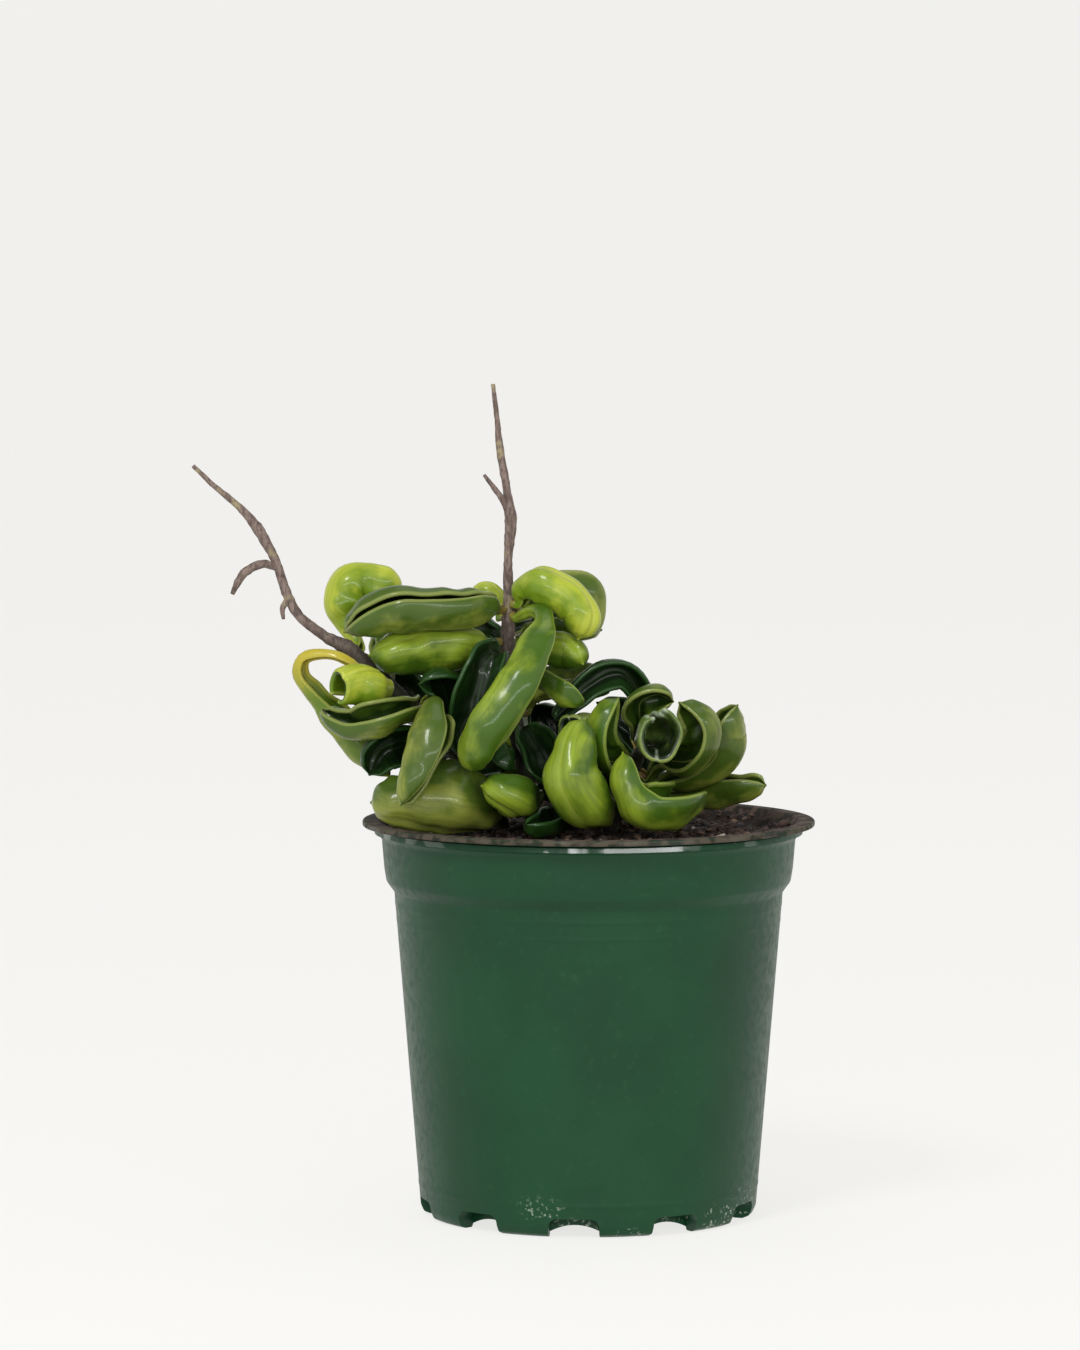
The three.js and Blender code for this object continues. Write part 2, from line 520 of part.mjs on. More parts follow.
// The lowest that the outside of a leaf may be over a spot of the ground: the mix, then the lip
function groundAt(x, y) {
  const out = Math.hypot(x, y);
  const blend = smoothstep((out - RIM_INSIDE) / RIM_BLEND);
  return THREE.MathUtils.lerp(SOIL_TOP_Z + SOIL_LUMP, POT_HEIGHT, blend) + GAP;
}

// Spreads the pushes on one leaf along it, so that it bends in a smooth line
function easeAlong(pushes) {
  let eased = pushes;
  for (let i = 0; i < EASINGS; i++) {
    const last = eased;
    eased = last.map((push, k) => push.clone().multiplyScalar(0.5)
      .addScaledVector(last[Math.max(0, k - 1)], 0.25)
      .addScaledVector(last[Math.min(BEADS - 1, k + 1)], 0.25));
  }
  return eased;
}

// Bends the leaves until their beads are clear of each other, of the stems and of the ground
function bendClear(leaves) {
  const strings = leaves.map((leaf) => {
    const curve = new THREE.CatmullRomCurve3(leafPath(leaf), false, 'catmullrom', 0.5);
    return curve.getPoints(BEADS - 1).map((spot, k) => {
      const radius = leafRadius(leaf, k / (BEADS - 1)) * (1 + (leaf.spiral ?? 0));
      const grownOn = k === 0 || leaf.height === 'top' ? leaf.stem : null;
      return { spot, radius, ease: Math.min(1, k / FREE_FROM), grownOn };
    });
  });
  const posts = [];
  for (const [stem, points] of Object.entries(STEMS)) {
    spline(points).getPoints(POSTS).forEach((spot, i) => {
      posts.push({ spot, radius: stemRadius(points, i / POSTS), stem });
    });
  }
  for (let pass = 0; pass < PASSES; pass++) {
    const pushes = strings.map((string) => string.map(() => new THREE.Vector3()));
    strings.forEach((string, a) => {
      string.forEach((bead, k) => {
        strings.forEach((other, b) => {
          if (a === b) {
            return;
          }
          for (const next of other) {
            const away = bead.spot.clone().sub(next.spot);
            const lack = bead.radius + next.radius + CLEAR - away.length();
            if (lack > 0 && bead.ease > 0) {
              const share = bead.ease / (bead.ease + next.ease);
              pushes[a][k].addScaledVector(away.normalize(), PUSH * share * lack);
            }
          }
        });
        for (const post of posts) {
          const away = bead.spot.clone().sub(post.spot);
          const lack = bead.radius + post.radius + CLEAR - away.length();
          if (lack > 0 && post.stem !== bead.grownOn) {
            pushes[a][k].addScaledVector(away.normalize(), PUSH * lack);
          }
        }
        const sunk = groundAt(bead.spot.x, bead.spot.y) + bead.radius - bead.spot.z;
        pushes[a][k].z += Math.max(0, sunk);
      });
    });
    strings.forEach((string, a) => {
      const eased = easeAlong(pushes[a]);
      string.forEach((bead, k) => bead.spot.addScaledVector(eased[k], bead.ease));
    });
  }
  return strings.map((string) => string.map((bead) => bead.spot));
}

// A leaf: a thick sheet rolled round its middle line, closed at its margins and ends
function makeLeaf(leaf, spots, order) {
  const twist = THREE.MathUtils.degToRad(leaf.twist ?? TWIST * (order % 2 === 0 ? 1 : -1));
  const curve = new THREE.CatmullRomCurve3(spots, false, 'catmullrom', 0.5);
  const stations = [];
  for (let i = 0; i <= LEAF_ROWS; i++) {
    const turn = (2 * Math.PI * i) / LEAF_ROWS;
    stations.push((turn - ROWS_TO_ENDS * Math.sin(turn)) / (2 * Math.PI));
  }
  const middles = stations.map((u) => curve.getPoint(u));
  const radii = limitToBends(middles, stations.map((u) => leafRadius(leaf, u)));
  const frames = carryFrames(middles, asVector(leaf.slit), Math.round(LEAF_ROWS / 2));
  const vertices = [];
  const put = (i, j, inside) => {
    const u = stations[i];
    const v = (2 * j) / LEAF_COLUMNS - 1;
    const base = radii[i];
    const thick = Math.min(LEAF_THICK * (1 - MARGIN_THINNER * v * v), THICK_SHARE * base);
    const side = Math.sign(v) * SIDES_APART;
    const wave = (leaf.wave ?? WAVE) * smoothstep(u / WAVES_START);
    const ripple = wave * v ** 4 * Math.sin(2 * Math.PI * (leaf.waves ?? WAVES) * u + side);
    const groove = MIDRIB_GROOVE * Math.exp(-((v / MIDRIB_WIDTH) ** 2));
    const step = LUMP_STEP_BY_LEAF * order + LUMP_STEP_BY_SIDE * side;
    const swell = LUMP * Math.sin(2 * Math.PI * LUMPS * u + step);
    const open = STALK_ROLL + (1 - STALK_ROLL) * smoothstep(u / STALK_OPENS);
    const round = v * THREE.MathUtils.degToRad(leaf.roll) * open;
    const fold = FOLD * Math.cos(2 * round);
    const form = base * (1 + (leaf.spiral ?? 0) * v - groove + swell + fold);
    const radius = form + ripple - (inside ? thick : 0);
    const turn = round + twist * (u - 0.5);
    vertices.push(middles[i].clone()
      .addScaledVector(frames[i].side, radius * Math.sin(turn))
      .addScaledVector(frames[i].up, -radius * Math.cos(turn)));
  };
  for (const inside of [false, true]) {
    for (let i = 0; i <= LEAF_ROWS; i++) {
      for (let j = 0; j <= LEAF_COLUMNS; j++) {
        put(i, j, inside);
      }
    }
  }
  return sheetGeometry(vertices, LEAF_ROWS, LEAF_COLUMNS);
}

// Where a leaf bends sharply its roll is narrower than the bend, so that it never folds into itself
function limitToBends(middles, radii) {
  const last = middles.length - 1;
  const limited = radii.map((radius, i) => {
    const k = Math.min(last - 1, Math.max(1, i));
    const a = middles[k - 1].distanceTo(middles[k]);
    const b = middles[k].distanceTo(middles[k + 1]);
    const c = middles[k - 1].distanceTo(middles[k + 1]);
    const toNext = middles[k + 1].clone().sub(middles[k - 1]);
    const area = toNext.cross(middles[k].clone().sub(middles[k - 1])).length() / 2;
    const bendRadius = (a * b * c) / Math.max(1e-6, 4 * area);
    return Math.min(radius, BEND_SHARE * bendRadius);
  });
  return limited.map((radius, i) => {
    const before = limited[Math.max(0, i - 1)];
    const after = limited[Math.min(last, i + 1)];
    return Math.min(radius, 0.25 * before + 0.5 * radius + 0.25 * after);
  });
}

// Joins an outside and an inside grid of points into one closed skin, split alike on both faces
function sheetGeometry(vertices, rows, columns) {
  const width = columns + 1;
  const lift = (rows + 1) * width;
  const outer = (i, j) => i * width + j;
  const inner = (i, j) => lift + i * width + j;
  const index = [];
  const quad = (a, b, c, d) => index.push(a, b, c, a, c, d);
  for (let i = 0; i < rows; i++) {
    for (let j = 0; j < columns; j++) {
      quad(outer(i, j), outer(i, j + 1), outer(i + 1, j + 1), outer(i + 1, j));
      index.push(inner(i, j), inner(i + 1, j + 1), inner(i, j + 1));
      index.push(inner(i, j), inner(i + 1, j), inner(i + 1, j + 1));
    }
    quad(inner(i, 0), outer(i, 0), outer(i + 1, 0), inner(i + 1, 0));
    quad(outer(i, columns), inner(i, columns), inner(i + 1, columns), outer(i + 1, columns));
  }
  for (let j = 0; j < columns; j++) {
    quad(inner(0, j), inner(0, j + 1), outer(0, j + 1), outer(0, j));
    quad(outer(rows, j), outer(rows, j + 1), inner(rows, j + 1), inner(rows, j));
  }
  const geometry = new THREE.BufferGeometry();
  const places = vertices.flatMap((vertex) => vertex.toArray());
  geometry.setAttribute('position', new THREE.Float32BufferAttribute(places, 3));
  geometry.setIndex(index);
  geometry.computeVertexNormals();
  return geometry;
}

function addMesh(group, name, geometry, color, roughness) {
  const material = new THREE.MeshStandardMaterial({ color, roughness, metalness: 0 });
  const mesh = new THREE.Mesh(geometry, material);
  mesh.name = name;
  group.add(mesh);
}

const plant = new THREE.Group();
addMesh(plant, 'pot', makePot(), POT_GREEN, 0.4);
addMesh(plant, 'soil', makeSoil(), MIX_BROWN, 0.95);
for (const name of Object.keys(STEMS)) {
  addMesh(plant, `stem_${name}`, makeStem(name), BARK_BROWN, 0.8);
}
const leaves = [...LEAVES, ...backLeaves()];
const settled = bendClear(leaves);
leaves.forEach((leaf, i) => {
  const color = /inner|hollow|arch|dark/.test(leaf.name) ? DARK_GREEN : LEAF_GREEN;
  addMesh(plant, `leaf_${leaf.name}`, makeLeaf(leaf, settled[i], i), color, 0.35);
});

const box = new THREE.Box3().setFromObject(plant);
const middle = box.getCenter(new THREE.Vector3());
plant.position.set(-middle.x, -middle.y, -box.min.z);

export default plant;
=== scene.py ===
# %% [markdown]
# # A hindu rope plant in its nursery pot
# The hindu rope plant is a vine with thick, waxy leaves that roll up and curl round each other along
# short stems, so that each shoot looks like a knotted rope. This one grows in a plain green pot.
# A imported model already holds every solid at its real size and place. This lesson loads it as a fixed
# frame and then gives each solid a finer body and a finish, one piece at a time.

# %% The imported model
import math

import bmesh
import bpy
import numpy as np
from mathutils import Matrix, Vector, noise


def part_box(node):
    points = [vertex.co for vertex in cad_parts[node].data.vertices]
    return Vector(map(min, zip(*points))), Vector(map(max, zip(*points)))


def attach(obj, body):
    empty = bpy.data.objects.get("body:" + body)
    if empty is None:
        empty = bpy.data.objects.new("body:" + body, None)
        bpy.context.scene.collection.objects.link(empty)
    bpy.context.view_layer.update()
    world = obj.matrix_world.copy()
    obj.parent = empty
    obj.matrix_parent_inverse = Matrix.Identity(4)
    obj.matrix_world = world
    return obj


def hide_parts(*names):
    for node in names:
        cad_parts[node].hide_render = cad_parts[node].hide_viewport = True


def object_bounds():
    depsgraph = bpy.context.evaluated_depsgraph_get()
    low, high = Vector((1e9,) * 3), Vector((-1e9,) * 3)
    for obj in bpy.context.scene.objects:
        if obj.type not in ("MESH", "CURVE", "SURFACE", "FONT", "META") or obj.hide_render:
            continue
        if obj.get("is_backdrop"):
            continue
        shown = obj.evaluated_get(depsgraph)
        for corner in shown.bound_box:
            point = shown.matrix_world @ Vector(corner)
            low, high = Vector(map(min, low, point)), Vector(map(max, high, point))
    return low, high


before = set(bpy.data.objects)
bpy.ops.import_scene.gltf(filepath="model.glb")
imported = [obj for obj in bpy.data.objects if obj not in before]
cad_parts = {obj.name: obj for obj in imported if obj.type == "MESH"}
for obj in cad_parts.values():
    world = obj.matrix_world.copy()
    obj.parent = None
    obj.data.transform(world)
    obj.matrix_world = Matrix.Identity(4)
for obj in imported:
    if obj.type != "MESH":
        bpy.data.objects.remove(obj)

cad_low, cad_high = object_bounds()
print("packed model:", len(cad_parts), "nodes,", [round(v, 4) for v in cad_high - cad_low], "m")

# %% [markdown]
# ## Units and the pot's axis
# Blender works in metres here, and a potted plant is easier to think about in millimetres. Every place
# below is written in millimetres from the middle of the pot's foot, and one function turns it into
# the frame. The pot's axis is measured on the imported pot, so that nothing has to be fitted by eye.

# %% Millimetres from the middle of the pot's foot
MM = 0.001
pot_low, pot_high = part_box("pot")
AXIS = np.array([(pot_low.x + pot_high.x) / 2, (pot_low.y + pot_high.y) / 2, pot_low.z])


def to_frame(points):
    """Millimetres from the pot's foot, as metres in the frame."""
    return np.asarray(points, float) * MM + AXIS


print("pot's axis at", AXIS.round(5), "and its height", round((pot_high.z - pot_low.z) / MM, 2), "mm")

# %% [markdown]
# ## Camera
# A product photograph of a plant is taken from a distance with a long lens, so that the pot's sides
# stay nearly parallel. The ellipse of the rim gives the camera's tilt: it is seen from about four
# degrees above. The camera stands a metre and a half away and looks slightly down.

# %% A long lens, a little above the rim
CAMERA_PLACE = (0.0, -1500.0, 239.6)
CAMERA_TILT = 4.21
CAMERA_YAW = 0.443
LENS = 168.2
SENSOR_WIDTH = 36

camera_data = bpy.data.cameras.new("camera")
camera_data.sensor_width = SENSOR_WIDTH
camera_data.lens = LENS
camera = bpy.data.objects.new("camera", camera_data)
camera.location = to_frame(CAMERA_PLACE)
camera.rotation_euler = (math.radians(90 - CAMERA_TILT), 0, math.radians(CAMERA_YAW))
bpy.context.collection.objects.link(camera)
bpy.context.scene.camera = camera
print("camera at", [round(v, 3) for v in camera.location])

# %% [markdown]
# ## Helpers for finishes
# Colours are written as the sRGB hex values that one would pick on a screen, and shaders work in linear
# light, so one function converts them. A finish is a small network of nodes. One helper adds a node
# with its settings and links, and gives back the output that the next node takes, which keeps each
# material short enough to read. Most colours here are laid over each other where a pattern is strong.

# %% Colours and nodes
# Inputs by number: a Mix node's share and its two colours, and a Map Range node's value and limits
SHARE, FIRST, SECOND = 0, 6, 7
VALUE, LOW, HIGH, TO_LOW, TO_HIGH = range(5)
# Settings that come again: a Mix node between two colours, and a Map Range node with eased ends
OF_COLOURS = dict(output=2, data_type="RGBA")
EASED = dict(interpolation_type="SMOOTHSTEP")


def linear(hex_colour):
    """An sRGB colour such as #2C4E34, as the linear values that shaders take."""
    values = [int(hex_colour[i:i + 2], 16) / 255 for i in (1, 3, 5)]
    return tuple(v / 12.92 if v <= 0.04045 else ((v + 0.055) / 1.055) ** 2.4 for v in values) + (1.0,)


def add_node(material, kind, inputs=None, output=0, **settings):
    """Adds a node and gives back one output. Each input is a value, or another's output to link."""
    node = material.node_tree.nodes.new("ShaderNode" + kind)
    for name, value in settings.items():
        setattr(node, name, value)
    for key, value in (inputs or {}).items():
        if isinstance(value, bpy.types.NodeSocket):
            material.node_tree.links.new(value, node.inputs[key])
        else:
            node.inputs[key].default_value = value
    return node.outputs[output] if node.outputs else None


def empty_material(name):
    material = bpy.data.materials.new(name)
    material.use_nodes = True
    material.node_tree.nodes.clear()
    return material


def places_in_mm(material):
    """Places on the piece in millimetres, so that a pattern's scale is one over its real size."""
    place = add_node(material, "TexCoord", output="Object")
    return add_node(material, "VectorMath", {0: place, "Scale": 1 / MM}, operation="SCALE")


def laid_over(material, under, over, value, low, high, most=1.0):
    """One colour over another: not at all where the value is low, and by the most where it is high."""
    limits = {VALUE: value, LOW: low, HIGH: high, TO_HIGH: most}
    colours = {SHARE: add_node(material, "MapRange", limits, **EASED), FIRST: under, SECOND: over}
    return add_node(material, "Mix", colours, **OF_COLOURS)


def coat_piece(material, inputs, bump=None):
    """Ends a network: one surface shader with these inputs, and with a bump if there is one."""
    if bump:
        inputs["Normal"] = add_node(material, "Bump", bump)
    shader = add_node(material, "BsdfPrincipled", inputs)
    add_node(material, "OutputMaterial", {"Surface": shader})
    return material


print("pot green in linear light:", [round(v, 4) for v in linear("#2C4E34")])

# %% [markdown]
# ## Helpers for shapes
# Most pieces here are a row of rings: the pot is a profile turned round its axis, a stem is a row of
# rings along a curve, and a leaf is a row of thin flat rings. One function therefore joins rings of
# points into faces, and another also closes both ends. A third turns points and faces into an object.

# %% Rings of points into faces, and faces into an object
def joined_rings(count, sides):
    """Faces between neighbouring rings of points."""
    faces = []
    for i in range(count - 1):
        for j in range(sides):
            k = (j + 1) % sides
            faces.append((i * sides + j, i * sides + k, (i + 1) * sides + k, (i + 1) * sides + j))
    return faces


def mesh_object(name, points, faces, attributes=None):
    """A smooth mesh from points in millimetres; attributes are extra numbers for each point."""
    mesh = bpy.data.meshes.new(name)
    mesh.from_pydata(to_frame(points).tolist(), [], faces)
    mesh.shade_smooth()
    for key, values in (attributes or {}).items():
        values = np.asarray(values, np.float32)
        kind, field = ("FLOAT", "value") if values.ndim == 1 else ("FLOAT_VECTOR", "vector")
        mesh.attributes.new(key, kind, "POINT").data.foreach_set(field, values.ravel())
    piece = bpy.data.objects.new(name, mesh)
    bpy.context.collection.objects.link(piece)
    return piece


def closed_body(name, rings):
    """A body from an array of rings of points, with a flat cap on its first and its last ring."""
    count, sides = rings.shape[:2]
    caps = [tuple(range(sides - 1, -1, -1)), tuple(range((count - 1) * sides, count * sides))]
    return mesh_object(name, rings.reshape(-1, 3), joined_rings(count, sides) + caps)


print("3 rings of 8 points have", len(joined_rings(3, 8)), "faces")

# %% [markdown]
# A hole is cut with a Boolean modifier, which is baked into the mesh at once, and a shoot is joined on
# in the same way. A finished piece rides on an empty for the root body, and the imported solids that it
# stands for are hidden.

# %% Cutting, joining and placing a piece
def carve(piece, tools, operation):
    """Cuts the tools out of the piece, or joins them to it, and removes them."""
    for tool in tools:
        modifier = piece.modifiers.new(tool.name, "BOOLEAN")
        modifier.object = tool
        modifier.operation = operation
        modifier.solver = "EXACT"
    bpy.context.view_layer.update()
    graph = bpy.context.evaluated_depsgraph_get()
    mesh = bpy.data.meshes.new_from_object(piece.evaluated_get(graph))
    piece.modifiers.clear()
    piece.data = mesh
    for tool in tools:
        bpy.data.objects.remove(tool)


def place_piece(piece, material, slot, *nodes):
    """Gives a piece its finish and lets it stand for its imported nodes."""
    piece.data.materials.clear()
    piece.data.materials.append(material)
    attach(piece, "root")
    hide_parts(*nodes)


def smoothstep(x):
    """Eased from 0 to 1."""
    t = np.clip(x, 0, 1)
    return t * t * (3 - 2 * t)


print("a quarter of the way, eased:", smoothstep(0.25))

# %% [markdown]
# ## Pot: the shape
# The pot is a 4.25 inch nursery pot, injection moulded in one piece with a wall about a millimetre
# thick. Its body tapers so that pots nest, a collar stands out near the top, and a flat lip is what
# hands and trays hold it by. It is round, so its profile is turned about the axis. The foot has ten
# notches that let water out, and those are cut with a Boolean, as they aren't round.

# %% The pot's sizes
POT_HEIGHT = 94.7
POT_WALL = 1.2
LIP_RADIUS = 54
LIP_THICK = 1.3
COLLAR_TOP_RADIUS = 50.2
COLLAR_FOOT_RADIUS = 48.3
COLLAR_FOOT_Z = 80.2
COLLAR_BEND = (0.5, 3)
STEP_Z = 77.6
BODY_TOP_RADIUS = 46.4
BODY_FOOT_RADIUS = 40.2
FOOT_FILLET = 2.4
FILLET_MIDDLE = 0.3
FOOT_RING_RADIUS = 35.4
FOOT_RING_SLOPE = 1
FLOOR_UNDERSIDE_Z = 3
FLARE_TOP_Z = 92.5
FLARE_FOOT_Z = 90.3
FLARE = 0.8
INSIDE_HIGHER = 0.4
AXIS_HOLE = 0.01
# Low rings that the mould left: the height on the wall and how far each stands out
MOULDED_RINGS = ((7.7, 0.1), (71, 0.05), (75, 0.06))
RING_HALF = 0.9
RING_FLAT = 0.3
# The ledge under the lip: its middle, half its height, how far it stands out and leans, and its edges
LEDGE_Z = 92.2
LEDGE_HALF = 0.6
LEDGE_PROUD = 0.8
LEDGE_SLOPE = 10
LEDGE_EDGE = 0.12
LEDGE_ROOT = 0.3
GROOVE_PROUD = 0.1
GROOVE_ROOT = 0.15
CORNER_ROUND = 0.45
CORNER_ARM = 0.45
CORNER_STEPS = 4
POT_SIDES = 192
print("pot:", POT_HEIGHT, "mm tall and", 2 * LIP_RADIUS, "mm across the lip")

# %% [markdown]
# The outside and the inside of the wall are two lists of places, each a radius and a height, from the
# axis out to the lip and back. The corners between them are eased, as a mould leaves no knife edge.

# %% The pot's profile
def body_radius(z):
    """The outside of the tapered body at a height."""
    share = (z - FOOT_FILLET) / (STEP_Z - FOOT_FILLET)
    return BODY_FOOT_RADIUS + (BODY_TOP_RADIUS - BODY_FOOT_RADIUS) * share


def moulded_ring(z, proud):
    """A low ring round the body, where the two halves of the mould or a stop for nesting left it."""
    flat = RING_FLAT * RING_HALF
    return [(body_radius(z - RING_HALF), z - RING_HALF), (body_radius(z) + proud, z - flat),
            (body_radius(z) + proud, z + flat), (body_radius(z + RING_HALF), z + RING_HALF)]


def ledge_under_lip():
    """A narrow ledge on the collar that stiffens the rim, with a groove between it and the lip."""
    lean = LEDGE_HALF * math.tan(math.radians(LEDGE_SLOPE))
    reach = COLLAR_TOP_RADIUS + LEDGE_PROUD
    ledge = [(COLLAR_TOP_RADIUS, LEDGE_Z - LEDGE_HALF - LEDGE_ROOT)]
    # Two more places on the flat face keep it flat up to its small rounded edges
    for up in (-1, -1 + LEDGE_EDGE, 1 - LEDGE_EDGE, 1):
        ledge.append((reach - up * lean, LEDGE_Z + up * LEDGE_HALF))
    return ledge + [(COLLAR_TOP_RADIUS + GROOVE_PROUD, LEDGE_Z + LEDGE_HALF + GROOVE_ROOT)]


def rounded(profile):
    """The profile with every corner between its ends eased by a short curve."""
    eased = [profile[0]]
    for before, corner, after in zip(profile, profile[1:], profile[2:]):
        corner = np.array(corner, float)
        arms = [np.array(before, float) - corner, np.array(after, float) - corner]
        reach = min([CORNER_ROUND] + [CORNER_ARM * np.linalg.norm(arm) for arm in arms])
        start, end = [corner + reach * arm / np.linalg.norm(arm) for arm in arms]
        for t in np.linspace(0, 1, CORNER_STEPS):
            eased.append(tuple((1 - t) ** 2 * start + 2 * t * (1 - t) * corner + t ** 2 * end))
    return eased + [profile[-1]]


OUTSIDE = [
    (AXIS_HOLE, FLOOR_UNDERSIDE_Z), (FOOT_RING_RADIUS - FOOT_RING_SLOPE, FLOOR_UNDERSIDE_Z),
    (FOOT_RING_RADIUS, 0), (BODY_FOOT_RADIUS - FOOT_FILLET, 0),
    (BODY_FOOT_RADIUS - FILLET_MIDDLE * FOOT_FILLET, FILLET_MIDDLE * FOOT_FILLET),
    (BODY_FOOT_RADIUS, FOOT_FILLET), *[place for ring in MOULDED_RINGS for place in moulded_ring(*ring)],
    (BODY_TOP_RADIUS, STEP_Z), (COLLAR_FOOT_RADIUS, COLLAR_FOOT_Z),
    (COLLAR_FOOT_RADIUS + COLLAR_BEND[0], COLLAR_FOOT_Z + COLLAR_BEND[1]),
    (COLLAR_TOP_RADIUS - FLARE, FLARE_FOOT_Z), *ledge_under_lip(),
    (COLLAR_TOP_RADIUS + GROOVE_PROUD, POT_HEIGHT - LIP_THICK), (LIP_RADIUS, POT_HEIGHT - LIP_THICK),
    (LIP_RADIUS, POT_HEIGHT),
]
INSIDE = [
    (COLLAR_TOP_RADIUS, POT_HEIGHT), (COLLAR_TOP_RADIUS - POT_WALL, FLARE_TOP_Z + INSIDE_HIGHER),
    (COLLAR_TOP_RADIUS - FLARE - POT_WALL, FLARE_FOOT_Z),
    (COLLAR_FOOT_RADIUS - POT_WALL, COLLAR_FOOT_Z + INSIDE_HIGHER),
    (BODY_TOP_RADIUS - POT_WALL, STEP_Z + INSIDE_HIGHER),
    (BODY_FOOT_RADIUS - POT_WALL, FLOOR_UNDERSIDE_Z + POT_WALL), (AXIS_HOLE, FLOOR_UNDERSIDE_Z + POT_WALL),
]


def turned(profile, sides):
    """Rings of points: the profile turned round the pot's axis."""
    angles = np.linspace(0, 2 * math.pi, sides, endpoint=False)
    return np.array([[(r * math.cos(a), r * math.sin(a), z) for a in angles] for r, z in profile])


pot = closed_body("nursery_pot", turned(rounded(OUTSIDE + INSIDE), POT_SIDES))
print("pot before its notches:", len(pot.data.polygons), "faces")

# %% [markdown]
# The notches are arches with rounded corners. Each cutter is a short block of that outline, pushed
# outwards through the foot, and the same block is turned to ten places.

# %% Ten drainage notches
NOTCH_COUNT = 10
NOTCH_WIDTH = 12
NOTCH_HEIGHT = 4.6
NOTCH_ROUND = 2
NOTCH_INNER_RADIUS = 34.6
NOTCH_DEPTH = 10
NOTCH_TURN = -95
NOTCH_CORNER_STEPS = 7
SHARP_FROM = 40


def notch_cutter(number):
    half = NOTCH_WIDTH / 2
    outline = [(-half, -1), (half, -1)]
    for corner, start in ((half - NOTCH_ROUND, 0), (NOTCH_ROUND - half, 90)):
        for turn in np.radians(np.linspace(start, start + 90, NOTCH_CORNER_STEPS)):
            outline.append((corner + NOTCH_ROUND * math.cos(turn),
                            NOTCH_HEIGHT - NOTCH_ROUND + NOTCH_ROUND * math.sin(turn)))
    turn = math.radians(NOTCH_TURN + number * 360 / NOTCH_COUNT)
    out, across = (math.cos(turn), math.sin(turn)), (-math.sin(turn), math.cos(turn))
    rings = [[(r * out[0] + x * across[0], r * out[1] + x * across[1], z) for x, z in outline]
             for r in (NOTCH_INNER_RADIUS, NOTCH_INNER_RADIUS + NOTCH_DEPTH)]
    return closed_body(f"cutter_{number}", np.array(rings))


carve(pot, [notch_cutter(number) for number in range(NOTCH_COUNT)], "DIFFERENCE")
pot.data.set_sharp_from_angle(angle=math.radians(SHARP_FROM))
print("pot with its notches:", len(pot.data.polygons), "faces")

# %% [markdown]
# Potting leaves its marks: damp mix smears the wall above the soil and the top of the lip, and hands
# rub the ledge under the lip and the lip's edge smooth. The lip's outer edge is also given the dark
# colour of the mix, as painted shade for the dark line under the lip. Both marks are stored on the
# pot's points as numbers from 0 to 1, worked out from how far each point is from the axis and how high.

# %% Where the pot is grimy, where shade is painted on it, and where it is rubbed
WALL_GRIME = 0.3
LIP_EDGE_WIDTH = 0.5
LIP_EDGE_EASED = 0.4
LIP_EDGE_CLEAN = 0.35
# On the lip's outer edge most of the dark colour is painted shade, for the dark line under the lip
LIP_EDGE_SHADE = 0.85
LIP_EDGE_RUBBED = 0.3


def mark_wear_and_shade(piece):
    places = np.array([v.co[:] for v in piece.data.vertices]) / MM - AXIS / MM
    reach, height = np.hypot(places[:, 0], places[:, 1]), places[:, 2]
    inner = np.array([point for point in INSIDE if point[1] > FLOOR_UNDERSIDE_Z])[::-1]
    wall = np.interp(height, inner[:, 1], inner[:, 0])
    inside = 1 - smoothstep((reach - wall - WALL_GRIME) / WALL_GRIME)
    on_top = smoothstep((height - POT_HEIGHT + LIP_EDGE_CLEAN) / LIP_EDGE_CLEAN)
    ledge = smoothstep(2 - abs(height - LEDGE_Z) / LEDGE_HALF) * (reach > COLLAR_TOP_RADIUS)
    edge = smoothstep((reach - LIP_RADIUS + LIP_EDGE_WIDTH) / LIP_EDGE_EASED) * (1 - on_top)
    # The dark mark is dried mix on the wall and on the lip's top, and painted shade on its outer edge
    grime_and_shade = np.maximum.reduce([inside, on_top, LIP_EDGE_SHADE * edge])
    marks = {"grime_and_shade": grime_and_shade, "rubbed": np.maximum(ledge, LIP_EDGE_RUBBED * edge)}
    for key, values in marks.items():
        layer = piece.data.attributes.new(key, "FLOAT", "POINT")
        layer.data.foreach_set("value", values.astype(np.float32))
    return marks


pot_marks = mark_wear_and_shade(pot)
print("grimy points:", int((pot_marks["grime_and_shade"] > 0.5).sum()), "and rubbed:", int((pot_marks["rubbed"] > 0.5).sum()))

# %% [markdown]
# ## Pot: the finish
# Nursery pots are injection-moulded polypropylene. It has an IOR of about 1.49 and comes out of a
# slightly rough mould, which gives the eye a broad, satin sheen and no sharp mirror image. Handling
# scuffs it a little, and water leaves pale specks of lime round the foot.

